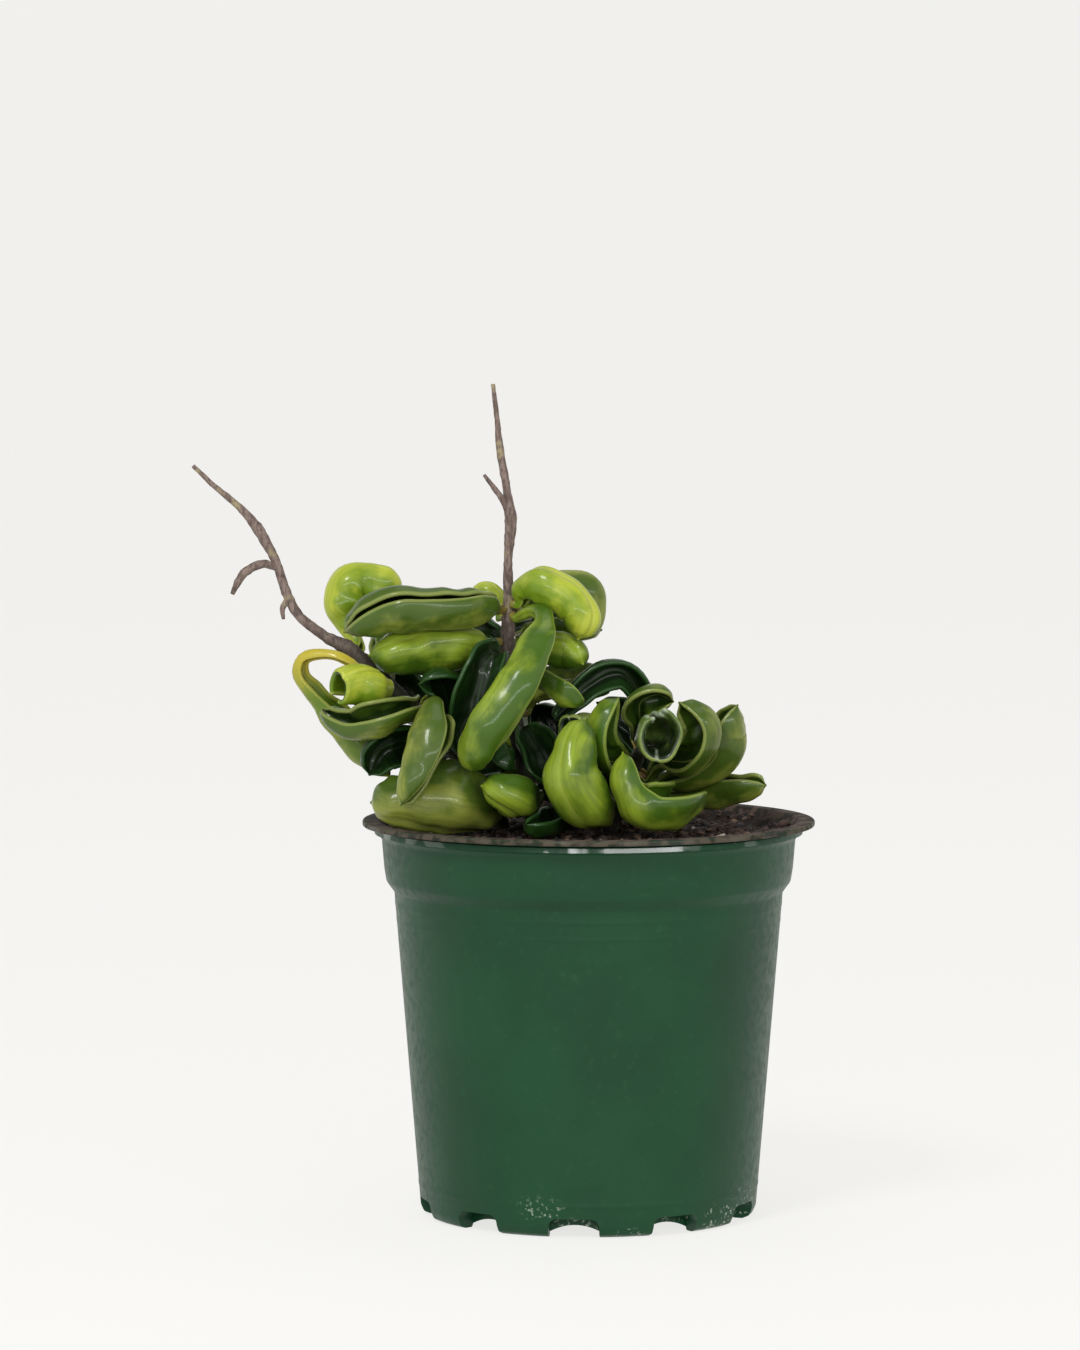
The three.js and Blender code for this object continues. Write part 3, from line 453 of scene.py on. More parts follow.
# %% Moulded polypropylene, dark green
def moulded_polypropylene(green, shade, worn, lime, dust_and_shade, mud_and_shade):
    material = empty_material("moulded polypropylene, dark green")
    place = places_in_mm(material)
    grime_and_shade, rubbed = [add_node(material, "Attribute", output="Fac", attribute_name=name)
                     for name in ("grime_and_shade", "rubbed")]
    sideways, height = [add_node(material, "SeparateXYZ", {"Vector": place}, name) for name in "XZ"]
    # One noise for each pattern, by the size of the pattern in millimetres and the noise's detail
    cloud, scuff, speck, patch, smear, dash, grain = [
        add_node(material, "TexNoise", {"Vector": place, "Scale": 1 / size, "Detail": detail})
        for size, detail in ((26, 3), (2, 3), (0.9, 2), (14, 2), (3, 4), (9, 2), (0.35, 2))]
    colour = laid_over(material, shade, green, cloud, 0.3, 0.7)
    # Scuffs are about 2 mm wide and show as a slightly greyer green
    colour = laid_over(material, colour, worn, scuff, 0.56, 0.8, 0.4)
    # Lime specks are half a millimetre. Most lie at the right of the front, where the water runs out
    right = add_node(material, "MapRange", {VALUE: sideways, LOW: 36, HIGH: 54}, **EASED)
    wet = add_node(material, "Math", {0: right, 1: 0.14, 2: patch}, operation="MULTIPLY_ADD")
    # They need a speck, a wet patch and a place on the lowest few millimetres
    masks = [add_node(material, "MapRange", {VALUE: value, LOW: low, HIGH: high}, **EASED)
             for value, low, high in ((speck, 0.57, 0.68), (wet, 0.6, 0.7), (height, 11, 3))]
    specks = add_node(material, "Math", {0: masks[0], 1: masks[1]}, operation="MULTIPLY")
    specks = add_node(material, "Math", {0: specks, 1: masks[2]}, operation="MULTIPLY")
    colour = add_node(material, "Mix", {SHARE: specks, FIRST: colour, SECOND: lime}, **OF_COLOURS)
    # Damp mix dries on the lip as smears 3 mm across: dust where it is thin, mud where it is thick.
    # On the lip's outer edge the same colours are painted shade
    dirt_and_shade = laid_over(material, mud_and_shade, dust_and_shade, smear, 0.4, 0.6)
    limits = {VALUE: smear, LOW: 0.25, HIGH: 0.5, TO_LOW: 0.75}
    cover_and_shade = add_node(material, "MapRange", limits, **EASED)
    cover_and_shade = add_node(material, "Math", {0: cover_and_shade, 1: grime_and_shade}, operation="MULTIPLY")
    colour = add_node(material, "Mix", {SHARE: cover_and_shade, FIRST: colour, SECOND: dirt_and_shade}, **OF_COLOURS)
    # Rubbed places are glossier in dashes about 9 mm long, and the dried mix and the painted shade take the
    # gloss away
    dashes = add_node(material, "MapRange", {VALUE: dash, LOW: 0.5, HIGH: 0.57}, **EASED)
    shine = add_node(material, "Math", {0: dashes, 1: rubbed}, operation="MULTIPLY")
    limits = {VALUE: scuff, LOW: 0.35, HIGH: 0.75, TO_LOW: 0.36, TO_HIGH: 0.5}
    rough = add_node(material, "MapRange", limits, **EASED)
    rough = add_node(material, "Math", {0: cover_and_shade, 1: 0.5, 2: rough},
                     operation="MULTIPLY_ADD", use_clamp=True)
    # The mould's texture is about a third of a millimetre
    return coat_piece(material, {
        "Base Color": colour, "Roughness": rough, "IOR": 1.49, "Specular IOR Level": 0.25,
        "Coat Weight": shine, "Coat Roughness": 0.14, "Coat IOR": 1.6,
    }, {"Height": grain, "Strength": 0.12, "Distance": 0.1 * MM})


# The dust and mud colours also make the painted shade on the lip's outer edge
POT_PLASTIC = moulded_polypropylene(
    linear("#0E3D22"), linear("#0C361E"), linear("#1F482B"), linear("#97A392"), linear("#4E4239"),
    linear("#211914"))
place_piece(pot, POT_PLASTIC, "pot", "pot")
print("pot's finish has", len(POT_PLASTIC.node_tree.nodes), "nodes")

# %% [markdown]
# ## Potting mix: the shape
# The pot is filled with a coarse mix of peat and bark to just under the lip. Its top is lumpy, so it
# is a fine grid of rings round the axis, raised by two low waves and by a crumbly noise. A closed
# body under that top fills the pot, as the real mix does.

# %% The mix and its crumbly top
GAP = 0.3
SOIL_TOP_Z = 91
SOIL_LUMP = 0.8
# Two low waves: the share of each, and the slopes and start of its sine and of its cosine
SOIL_WAVES = ((0.6, (0.31, 0, 1.1), (0, 0.27, -0.4)), (0.4, (0.9, -0.5, 0), (0.6, 0.7, 0)))
SOIL_EDGE_DROP = 3
SOIL_HOLE = 0.05
SOIL_SIDES = 260
SOIL_RINGS = 84
CRUMB_SIZE = 2.6
CRUMB_RISE = 1.1
CRUMB_NOISE = (0.8, 2.1, 4)
BANK_RISE = 2
BANK_FROM = 43.5
BANK_TO = 48


def soil_height(x, y):
    """The top of the mix: low waves, crumbs, and a bank where it was pressed against the wall."""
    waves = sum(share * math.sin(a[0] * x + a[1] * y + a[2]) * math.cos(b[0] * x + b[1] * y + b[2])
                for share, a, b in SOIL_WAVES)
    crumbs = noise.fractal(Vector((x, y, 0)) / CRUMB_SIZE, *CRUMB_NOISE)
    bank = BANK_RISE * float(smoothstep((math.hypot(x, y) - BANK_FROM) / (BANK_TO - BANK_FROM)))
    return SOIL_TOP_Z + SOIL_LUMP * waves + CRUMB_RISE * crumbs + bank


def potting_mix():
    inner = POT_WALL + GAP
    foot = FLOOR_UNDERSIDE_Z + inner
    edge = COLLAR_TOP_RADIUS - FLARE - inner
    wall = [(AXIS_HOLE, foot), (BODY_FOOT_RADIUS - inner, foot), (BODY_TOP_RADIUS - inner, STEP_Z),
            (COLLAR_FOOT_RADIUS - inner, COLLAR_FOOT_Z), (edge - GAP, SOIL_TOP_Z - SOIL_EDGE_DROP),
            (edge, SOIL_TOP_Z)]
    top = [(edge * i / SOIL_RINGS, SOIL_TOP_Z) for i in range(SOIL_RINGS, 0, -1)]
    rings = turned(wall + top + [(SOIL_HOLE, SOIL_TOP_Z)], SOIL_SIDES)
    for ring in rings[len(wall):]:
        for point in ring:
            point[2] = soil_height(point[0], point[1])
    return closed_body("potting_mix", rings)


mix = potting_mix()
print("potting mix:", len(mix.data.polygons), "faces")

# %% [markdown]
# Loose bits lie on the mix: chips of composted bark and a few pale grains. Each is a small ball with
# its points pushed about and then flattened, and all of them are one mesh, so that a thousand bits
# stay a single piece. A seeded generator gives the same bits on each run.

# %% Loose bits on the mix
BIT_COUNT = 1300
BIT_SEED = 5
BIT_SIZE = (0.5, 1.7)
BIT_SMALLER = (0.5, 1)
BIT_NARROWER = (0.5, 1)
BIT_FLAT = (0.35, 0.8)
BIT_DENTS = 0.22
BIT_DENTS_EVEN = 1.7
BIT_DENT_SLOPES = (-4, 4, (3, 3))
BIT_TIP = (-0.5, 0.5)
BIT_REACH = 47.2
BIT_SINK = 0.35


def loose_bits():
    template = bpy.data.meshes.new("bit")
    ball = bmesh.new()
    bmesh.ops.create_icosphere(ball, subdivisions=2, radius=1)
    ball.to_mesh(template)
    ball.free()
    shape = np.array([v.co[:] for v in template.vertices])
    shape_faces = np.array([p.vertices[:] for p in template.polygons])
    bpy.data.meshes.remove(template)
    draw = np.random.default_rng(BIT_SEED)
    points, faces, tints = [], [], []
    for number in range(BIT_COUNT):
        reach = BIT_REACH * math.sqrt(draw.random())
        turn = draw.uniform(0, 2 * math.pi)
        x, y = reach * math.cos(turn), reach * math.sin(turn)
        size = draw.uniform(*BIT_SIZE) * draw.uniform(*BIT_SMALLER)
        stretch = size * np.array([1, draw.uniform(*BIT_NARROWER), draw.uniform(*BIT_FLAT)])
        waves = np.sin(shape @ draw.uniform(*BIT_DENT_SLOPES)).sum(axis=1)
        dents = 1 + BIT_DENTS * waves / BIT_DENTS_EVEN
        spin = draw.uniform(0, 2 * math.pi)
        turn_over = Matrix.Rotation(spin, 3, "Z") @ Matrix.Rotation(draw.uniform(*BIT_TIP), 3, "Y")
        bit = shape * dents[:, None] * stretch @ np.array(turn_over).T
        bit += (x, y, soil_height(x, y) + (1 - BIT_SINK) * stretch[2] * 0.5)
        faces.append(shape_faces + number * len(shape))
        points.append(bit)
        tints.append(np.full(len(shape), draw.random()))
    return mesh_object("bark_bits", np.vstack(points), np.vstack(faces).tolist(),
                       {"tint": np.concatenate(tints)})


bits = loose_bits()
print("loose bits:", BIT_COUNT, "with", len(bits.data.polygons), "faces")

# %% [markdown]
# ## Potting mix: the finish
# Damp peat is almost black-brown and quite matt, with reddish fibres in it. The chips are composted
# pine bark, which is a warmer brown, and a few bits are perlite, a pale expanded glass. Each bit
# carries one random number, and the finish looks up its colour by it.

# %% Damp peat, bark and perlite
def damp_peat(dark, brown, fibre):
    material = empty_material("damp peat")
    place = places_in_mm(material)
    # Crumbs are about 2 mm across and the fibres' tangles about 4 mm
    crumb = add_node(material, "TexNoise", {"Vector": place, "Scale": 1 / 1.8, "Detail": 8})
    fibres = {"Vector": place, "Scale": 1 / 4, "Detail": 6, "Distortion": 2.5}
    strand = add_node(material, "TexNoise", fibres)
    colour = laid_over(material, dark, brown, crumb, 0.35, 0.62)
    colour = laid_over(material, colour, fibre, strand, 0.56, 0.66)
    inputs = {"Base Color": colour, "Roughness": 0.88, "IOR": 1.45, "Specular IOR Level": 0.35}
    return coat_piece(material, inputs, {"Height": crumb, "Strength": 0.9, "Distance": 0.6 * MM})


def composted_bark(dark, red, pale, perlite):
    material = empty_material("composted bark and perlite")
    place = places_in_mm(material)
    tint = add_node(material, "Attribute", output="Fac", attribute_name="tint")
    # The grain of a chip is about 0.6 mm. Perlite lies over the rest, as it has no grain
    grain = add_node(material, "TexNoise", {"Vector": place, "Scale": 1 / 0.6, "Detail": 4})
    colour = laid_over(material, dark, red, tint, 0.0, 0.7)
    colour = laid_over(material, colour, pale, tint, 0.78, 0.95)
    colour = laid_over(material, colour, dark, grain, 0.4, 0.75, 0.7)
    colour = laid_over(material, colour, perlite, tint, 0.975, 0.976)
    return coat_piece(material, {"Base Color": colour, "Roughness": 0.8, "IOR": 1.5},
                      {"Height": grain, "Strength": 0.6, "Distance": 0.25 * MM})


PEAT = damp_peat(linear("#120E0C"), linear("#2A1F19"), linear("#4A3328"))
BARK_BITS = composted_bark(linear("#1D1613"), linear("#3E2B22"), linear("#6B5443"), linear("#8F8578"))
place_piece(mix, PEAT, "potting_mix", "soil")
place_piece(bits, BARK_BITS, "potting_mix", "soil")
print("soil finishes:", PEAT.name, "and", BARK_BITS.name)

# %% [markdown]
# ## Stems: the shape
# Three woody stems stand in the mix. Two of them run on past the leaves as thin dry twigs with small
# knots, where leaves once grew. A stem follows a smooth curve through a few places with a radius at
# each. Its rings are carried along the curve with as little turning as they can, so that the bark
# isn't wrung, and a noise makes them uneven. Side shoots are joined on with a Boolean.

# %% Smooth curves and the frames along them
def along_curve(points, shares):
    """Places at shares of the way along a smooth curve through the points (uniform Catmull-Rom)."""
    points = np.asarray(points, float)
    held = np.vstack([2 * points[0] - points[1], points, 2 * points[-1] - points[-2]])
    at = np.clip(shares, 0, 1) * (len(points) - 1)
    low = np.minimum(at.astype(int), len(points) - 2)
    t = (at - low)[:, None]
    a, b, c, d = held[low], held[low + 1], held[low + 2], held[low + 3]
    return b + 0.5 * ((c - a) * t + (2 * a - 5 * b + 4 * c - d) * t ** 2 + (3 * b - a - 3 * c + d) * t ** 3)


def unit(vectors):
    return vectors / np.maximum(np.linalg.norm(vectors, axis=-1, keepdims=True), 1e-9)


def carried_frames(spots, up_at_middle, middle):
    """The way along a row of places, an up that turns as little as it can, and the side."""
    last = len(spots) - 1
    around = np.clip(np.arange(last + 1)[:, None] + (-1, 1), 0, last)
    along = unit(spots[around[:, 1]] - spots[around[:, 0]])
    ups = np.zeros_like(along)
    ups[middle] = up_at_middle - along[middle] * np.dot(up_at_middle, along[middle])
    for i in list(range(middle + 1, last + 1)) + list(range(middle - 1, -1, -1)):
        before = ups[i - 1] if i > middle else ups[i + 1]
        ups[i] = before - along[i] * np.dot(before, along[i])
        ups[i] /= np.linalg.norm(ups[i])
    ups = unit(ups)
    return along, ups, np.cross(ups, along)


quarter = along_curve([(0, 0, 0), (1, 0, 0), (1, 1, 0)], np.array([0, 0.25, 1]))
print("a quarter of the way round a corner:", quarter[1].round(3))

# %% [markdown]
# Each stem is a list of places with its radius at each, and the swellings along the bare twigs are
# the knots. The side shoots are a dried bract, a short spur and a twiglet.

# %% Stems and their side shoots
STEMS = {
    "left": [
        (-21, 6, 80, 2.1), (-21, 6, 92, 2.1), (-26, 6, 103, 2), (-36, 3, 114.5, 1.9),
        (-48, -1, 127, 1.9), (-57, -3, 135.4, 2), (-62.7, -4, 138.7, 1.2), (-68.6, -4, 143.3, 1.15),
        (-71.9, -4, 149.2, 1.2), (-74.3, -3, 156.3, 1.05), (-78.6, -2, 164, 1.35),
        (-83, -1, 169.1, 0.85), (-89.2, 0, 174.3, 0.65), (-94.2, 1, 179, 0.5),
    ],
    "centre": [
        (-13, 4, 80, 2.2), (-13, 4, 92, 2.2), (-15, 4, 106, 2.1), (-18.5, 4, 122, 2),
        (-19.4, 1, 137, 1.8), (-19, 0, 146, 1.4), (-19.2, 0, 156.7, 1), (-18.6, 0, 165.8, 1.5),
        (-19.5, 0, 173.3, 0.95), (-21.1, 1, 182.8, 0.95), (-21.8, 1, 190, 0.65),
        (-22.8, 1, 198.5, 0.5),
    ],
    "right": [
        (5, 8, 80, 2.1), (5, 8, 92, 2.1), (8, 6, 101, 2), (11, 3, 108, 1.8), (12.7, -3, 111.8, 1.3),
    ],
}
SIDE_SHOOTS = {
    "left": [
        [(-74.3, -3, 155, 0.8), (-77.6, -4, 155.9, 1), (-81.3, -5, 154.2, 1.1),
         (-83.3, -6, 151.6, 0.9), (-84.6, -6, 148.8, 0.5)],
        [(-71.5, -4, 147.6, 0.75), (-72.7, -4.6, 145.3, 0.7), (-72.5, -5, 142.8, 0.4)],
    ],
    "centre": [
        [(-18.9, 0, 166.6, 0.7), (-20.2, -1, 170.5, 0.8), (-22.6, -1.6, 174, 0.65),
         (-24.9, -2, 177, 0.4)],
    ],
    "right": [],
}
STEM_FACE = (0.3, 1, 0)
STEM_SIDES = 20
STEM_STEPS = 10
BARK_SIZE = 1.4
BARK_RISE = 0.16
BARK_NOISE = (0.9, 2, 3)


def stem_radius(points, shares):
    return np.interp(shares, np.linspace(0, 1, len(points)), [point[3] for point in points])


def bark_rod(name, points):
    shares = np.linspace(0, 1, (len(points) - 1) * STEM_STEPS + 1)
    spots = along_curve([point[:3] for point in points], shares)
    _, ups, sides = carried_frames(spots, np.array(STEM_FACE, float), 0)
    rings = np.zeros((len(spots), STEM_SIDES, 3))
    for i, radius in enumerate(stem_radius(points, shares)):
        for j, angle in enumerate(np.linspace(0, 2 * math.pi, STEM_SIDES, endpoint=False)):
            way = sides[i] * math.cos(angle) + ups[i] * math.sin(angle)
            rise = noise.fractal(Vector(spots[i] + way * radius) / BARK_SIZE, *BARK_NOISE)
            rings[i, j] = spots[i] + way * radius * (1 + BARK_RISE * rise)
    return closed_body(name, rings)


stems = {}
for stem_name, stem_points in STEMS.items():
    stems[stem_name] = bark_rod(f"woody_stem_{stem_name}", stem_points)
    shoots = [bark_rod(f"shoot_{i}", points) for i, points in enumerate(SIDE_SHOOTS[stem_name])]
    if shoots:
        carve(stems[stem_name], shoots, "UNION")
    print(stem_name, "stem:", len(stems[stem_name].data.polygons), "faces")

# %% [markdown]
# ## Stems: the finish
# The bark of an old vine is thin and dry, a grey brown with a purple cast, and straw-coloured where it
# has peeled. Low down among the leaves it is painted darker and greenish, as painted shade. It scatters
# light evenly, so it is rough, with a fine crackle along the stem.

# %% Dry bark
def dry_bark(brown, grey, straw, dark, shaded):
    material = empty_material("dry vine bark")
    place = places_in_mm(material)
    drawn = add_node(material, "Mapping", {"Vector": place, "Scale": (1, 1, 0.4)})
    # Streaks about 1 mm wide, peeled patches of 5 mm and a crackle of half a millimetre
    streak = add_node(material, "TexNoise", {"Vector": drawn, "Scale": 1 / 1.1, "Detail": 5})
    patch = add_node(material, "TexNoise", {"Vector": place, "Scale": 1 / 5, "Detail": 2})
    crack = add_node(material, "TexNoise", {"Vector": drawn, "Scale": 1 / 0.5, "Detail": 3})
    colour = laid_over(material, brown, grey, streak, 0.38, 0.62)
    colour = laid_over(material, colour, straw, patch, 0.58, 0.7)
    colour = laid_over(material, colour, dark, crack, 0.5, 0.72, 0.75)
    # Low down, among the leaves, a dark greenish colour is painted on as the shade that falls there
    height = add_node(material, "SeparateXYZ", {"Vector": place}, "Z")
    colour = laid_over(material, colour, shaded, height, 144, 128, 0.9)
    return coat_piece(material, {"Base Color": colour, "Roughness": 0.72, "IOR": 1.45},
                      {"Height": crack, "Strength": 0.7, "Distance": 0.2 * MM})


BARK = dry_bark(linear("#574842"), linear("#76665E"), linear("#867A5E"), linear("#2B2220"),
                linear("#1F2413"))
for stem_name, stem in stems.items():
    place_piece(stem, BARK, "bark", f"stem_{stem_name}")
print("stems finished:", ", ".join(stems))

# %% [markdown]
# ## Leaves: how each one lies
# A leaf of this plant is a long oval that never opens flat. Its two halves roll towards each other,
# and the whole roll curls over. So each leaf is told by a few places along its middle with the radius
# of the roll at each, the way that the slit of the roll faces, and half the angle that the roll goes
# round. The leaves that the photograph shows are set one by one, and so are a few dark ones that fill
# the depth behind them as painted shade. The tone says how old the leaf is, and the darkest tone is
# painted shade for the leaves inside the plant.

# %% The leaves that are set one by one
# For each: its stem, the height on it, the way the slit faces, half the roll's angle, the tone, and
# the places along its middle with the roll's radius at each
LEAVES = {
    "crest": ("left", 134, (0.3, -0.2, -1), 150, "young", [
        (-58, 5, 140.5, 2.4), (-59, 7, 146, 4.6), (-56, 8, 150.9, 6.3), (-51, 8.5, 150.4, 5.4),
        (-45, 9, 147, 1.4)]),
    "slit": ("centre", 145, (0, -0.75, 0.7), 175, "olive", [
        (-24, -5, 145.8, 3.6), (-29, -8, 145.3, 4.4), (-36, -10, 144.6, 5), (-43, -10, 143.8, 5.5),
        (-49, -9, 141.6, 5.5), (-57, -7, 137.2, 1.4)]),
    "bump": ("centre", 142, (0, 0.3, -1), 150, "young", [
        (-21, 6, 145, 2.2), (-24, 7, 148.4, 2.6), (-28, 7, 148.2, 1.4)]),
    "bulge": ("centre", 137, (0, 0.6, -0.8), 150, "fresh", [
        (-25, -3, 136, 3.8), (-32, -5, 134.2, 5.7), (-39.5, -6, 133, 6.2), (-48, -6, 132.6, 5.4),
        (-56, -6, 132.6, 1.4)]),
    "inner_dark": ("centre", 134.5, (0, -1, 0.2), 110, "deep", [
        (-22, -7, 136.5, 3), (-25.5, -12.5, 133.5, 4.8), (-30, -14, 126, 5.4), (-31.5, -13, 116.5, 4.6),
        (-31, -12, 107, 1.4)]),
    "cup": ("left", 128, (-0.3, 0.2, -0.9), 160, "young", [
        (-48.5, -8, 128, 3), (-51, -11, 128, 4.2), (-54.5, -13.5, 127.8, 4.6), (-58.5, -16.5, 127, 4.2)]),
    "wave_left": ("left", 121, (0, -0.85, 0.55), 150, "olive", [
        (-38, -9, 124.5, 2.5), (-42, -16, 123.2, 3.5), (-49, -19, 120.3, 4), (-56.5, -17, 119, 3.6),
        (-63, -11, 122.3, 1.4)]),
    "wave_right": ("left", 117, (1, -0.45, 0), 150, "olive", [
        (-35, -10, 120.5, 2.5), (-35.3, -18, 122.3, 3.8), (-36.8, -24, 116.5, 4.9), (-40, -27.5, 108, 4.1),
        (-44, -29.5, 100.5, 1.3)]),
    "inner_left": ("left", 112, (0, -1, -0.2), 110, "deep", [
        (-38, -5, 113, 3.6), (-43, -11, 113.5, 5.2), (-48.5, -13, 110.5, 5), (-51.5, -13, 105, 1.4)]),
    "hook": ("left", 132, (0.7, -0.5, 0.5), 125, "ochre", [
        (-58, -7, 133.5, 1.2), (-62.5, -6, 134.2, 1.2), (-67.4, -4.5, 133.3, 1.5), (-68.2, -4, 129, 1.9),
        (-64, -4, 124.3, 2.6), (-58, -4, 118.3, 4.2), (-52, -5, 112, 4.9), (-46.5, -6, 105, 1.4)]),
    "rim": ("left", 98, (0, 0.5, 0.8), 145, "olive", [
        (-22.5, -3, 100.6, 4.2), (-26, -10, 102, 7.4), (-32, -14.5, 102.8, 8.9), (-39, -17, 102.4, 8.1),
        (-46, -17.5, 102.2, 6), (-52, -16, 101.5, 1.4)]),
    "large": ("centre", 143.5, (0.9, 0.1, 0.2), 150, "fresh", [
        (-13.6, -6.6, 145.6, 1.5), (-10.4, -12, 143.6, 2), (-12.6, -18, 136.5, 4.3), (-16.6, -22, 129, 5.6),
        (-22, -24, 121, 5.7), (-26, -24, 114, 4.6), (-27, -22, 107, 1.4)]),
    "curl": ("centre", 99, (0, 0.3, 1), 140, "fresh", [
        (-11.5, -5, 101, 2.5), (-12.5, -15, 102, 4.6), (-17.5, -21.5, 103, 5.4), (-26, -22, 105, 1.4)]),
    "foot_dark": ("centre", 96, (0, -0.7, 0.7), 130, "deep", [
        (-9, -4, 96.8, 2.5), (-7, -12, 97.2, 3.8), (-9.5, -20, 97.2, 3.4), (-15, -25, 97, 1.4)]),
    "hollow": ("centre", 116, (0.2, -1, 0.3), 110, "deep", [
        (-14, -4, 117, 3.2), (-11, -10, 114.5, 4.8), (-8.5, -13, 108, 4.8), (-7, -13, 102, 1.4)]),
    "inner_middle": ("left", 116, (0.2, -1, 0.2), 110, "deep", [
        (-33, -1, 119, 3), (-33.5, -6, 123, 4.6), (-36, -10, 127, 4.4), (-41, -11, 126.5, 1.4)]),
    "inner_low": ("left", 104, (0.3, -1, 0.1), 115, "deep", [
        (-27, -2, 105.5, 3), (-25.5, -8, 107, 4.6), (-21, -12.5, 108, 4.8), (-15, -14, 106.5, 1.4)]),
    "inner_right": ("right", 100, (-0.2, -1, 0.3), 115, "deep", [
        (4, -1, 102.5, 3), (0, -7, 104.5, 4.4), (-1, -10, 110, 4.4), (-3, -11, 114.5, 1.4)]),
    "inner_behind_left": ("left", 118, (0, -1, 0.1), 105, "deep", [
        (-40, 9, 120, 3.2), (-41.5, 13.5, 123.5, 5.2), (-46, 14, 129.5, 5.4), (-52.5, 12, 136, 1.4)]),
    "inner_behind_top": ("centre", 126, (0.1, -1, 0.1), 105, "deep", [
        (-22, 12, 127, 3.4), (-27, 15.5, 128.2, 5.4), (-33, 16, 128.4, 5.2), (-38.5, 14, 127.5, 1.4)]),
    "inner_behind_slit": ("centre", 136, (0, -1, 0.1), 105, "deep", [
        (-22.5, 6, 138, 2.4), (-26.5, 9, 139.6, 3.8), (-31.5, 9.5, 139.6, 3.8), (-36, 9, 138.6, 1.4)]),
    "inner_behind_right": ("centre", 106, (0, -1, 0.1), 105, "deep", [
        (-11, 10, 108.5, 3.4), (-9.5, 13, 113, 5.4), (-10.5, 13.5, 118.5, 5.4), (-13, 13, 123, 1.4)]),
    "inner_rosette": ("right", 101.5, (0, -1, 0.2), 105, "deep", [
        (11, 10, 104.5, 3.4), (12, 13, 110, 5.6), (8.5, 13.5, 117.5, 5.6), (1, 12, 123.5, 1.4)]),
    "pale_edge": ("right", 109, (0.2, -0.6, -0.8), 140, "pale", [
        (5, -3, 113, 2.5), (0, -8, 115.5, 3.8), (-4.5, -12, 117, 4)]),
    "banana": ("centre", 146, (-0.5, 0.3, -0.8), 150, "young", [
        (-15.5, -4, 149, 2.8), (-11.2, -7, 150.4, 4.2), (-5.5, -8, 147.8, 4.5), (-2.3, -8, 142.3, 4.5),
        (-3.4, -7, 135.5, 1.4)]),
    "behind": ("centre", 144, (-0.5, -0.2, -0.8), 150, "olive", [
        (-13, 4, 148, 2.2), (-7, 5, 150.5, 3.5), (-1.5, 5, 149.8, 3.9), (0.3, 4, 144.5, 3.7),
        (-0.6, 3, 138, 1.4)]),
    "lobe": ("centre", 134, (-0.3, 0.5, -0.8), 150, "fresh", [
        (-12, -2, 134.5, 2.2), (-7, -5, 136, 3.8), (-2.8, -6, 135, 4.3), (-0.3, -7, 130.5, 1.4)]),
    "small_edge": ("centre", 127, (0.7, -0.6, 0.4), 120, "fresh", [
        (-12, -2, 129, 2), (-8, -8, 128, 3.3), (-5, -10, 124, 3.5), (-2, -10.5, 119, 1.5)]),
    "arch": ("right", 107, (0, -1, -0.3), 115, "deep", [
        (14, 4, 115, 2.2), (12.4, 1, 123.6, 3.2), (6.8, -3, 131, 3.7), (0, -6, 129.2, 3.6),
        (-5, -9, 122, 2.6), (-8, -11, 116, 1.4)]),
    "bulb": ("right", 96, (0.3, 0.9, 0.2), 150, "fresh", [
        (3, -4, 97.5, 2.5), (0.5, -15, 98.5, 5), (-2.5, -21, 101.5, 7.2), (-3.6, -22, 106.5, 7.6),
        (-2.2, -21, 113, 4.9), (0.8, -18, 120.5, 1.3)]),
    "ring": ("right", 101, (0, -0.6, 0.8), 130, "fresh", [
        (15, 1, 101, 2.5), (21.5, -5, 102, 4.2), (22.5, -13, 102, 5.4), (18.5, -20, 100.5, 6.2),
        (11.5, -23, 100.6, 6.2), (7.3, -23.5, 105.5, 4.4), (6.2, -21, 112.5, 1.4)]),
    "funnel": ("right", "top", (-0.3, 0, 1), 172, "pale", [
        (13.3, -8, 113.4, 3), (13.8, -13, 114.8, 5), (14.2, -18.5, 115.8, 5.7)]),
    "fold": ("right", 105, (0.85, -0.5, 0), 105, "fresh", [
        (8.5, -6, 108.5, 3), (7, -12, 111.5, 4.6), (6.5, -15, 117.5, 4.6), (8, -15.5, 124.5, 1.4)]),
    "upper_lobe": ("right", 110, (-0.2, -0.5, -0.8), 125, "olive", [
        (12.5, -2, 117, 2.5), (12, -6, 121.4, 3.6), (15.8, -8, 123.8, 4), (20.5, -9, 123, 1.4)]),
    "side_lobe": ("right", 107, (-0.8, -0.4, 0.2), 120, "olive", [
        (17.5, -1, 108.5, 2.6), (22.5, -7, 110.5, 4.6), (23.6, -11, 116.5, 4.9), (19, -13, 123, 1.4)]),
    "upright": ("right", 103, (-0.9, -0.2, 0.2), 115, "olive", [
        (16, 2, 103.5, 2.5), (23, -2, 106, 4.2), (27, -5, 110.5, 5.5), (28.4, -6, 116.3, 5.4),
        (34.2, -6, 122.2, 1.3)]),
    "low_right": ("right", 96, (0, -0.2, 1), 150, "olive", [
        (15, 6, 98.8, 2.2), (23, 6, 100.2, 3.2), (31, 3, 101.8, 3.7), (37, 0, 102.8, 3.4),
        (42.3, -2, 103, 1.5)]),
}
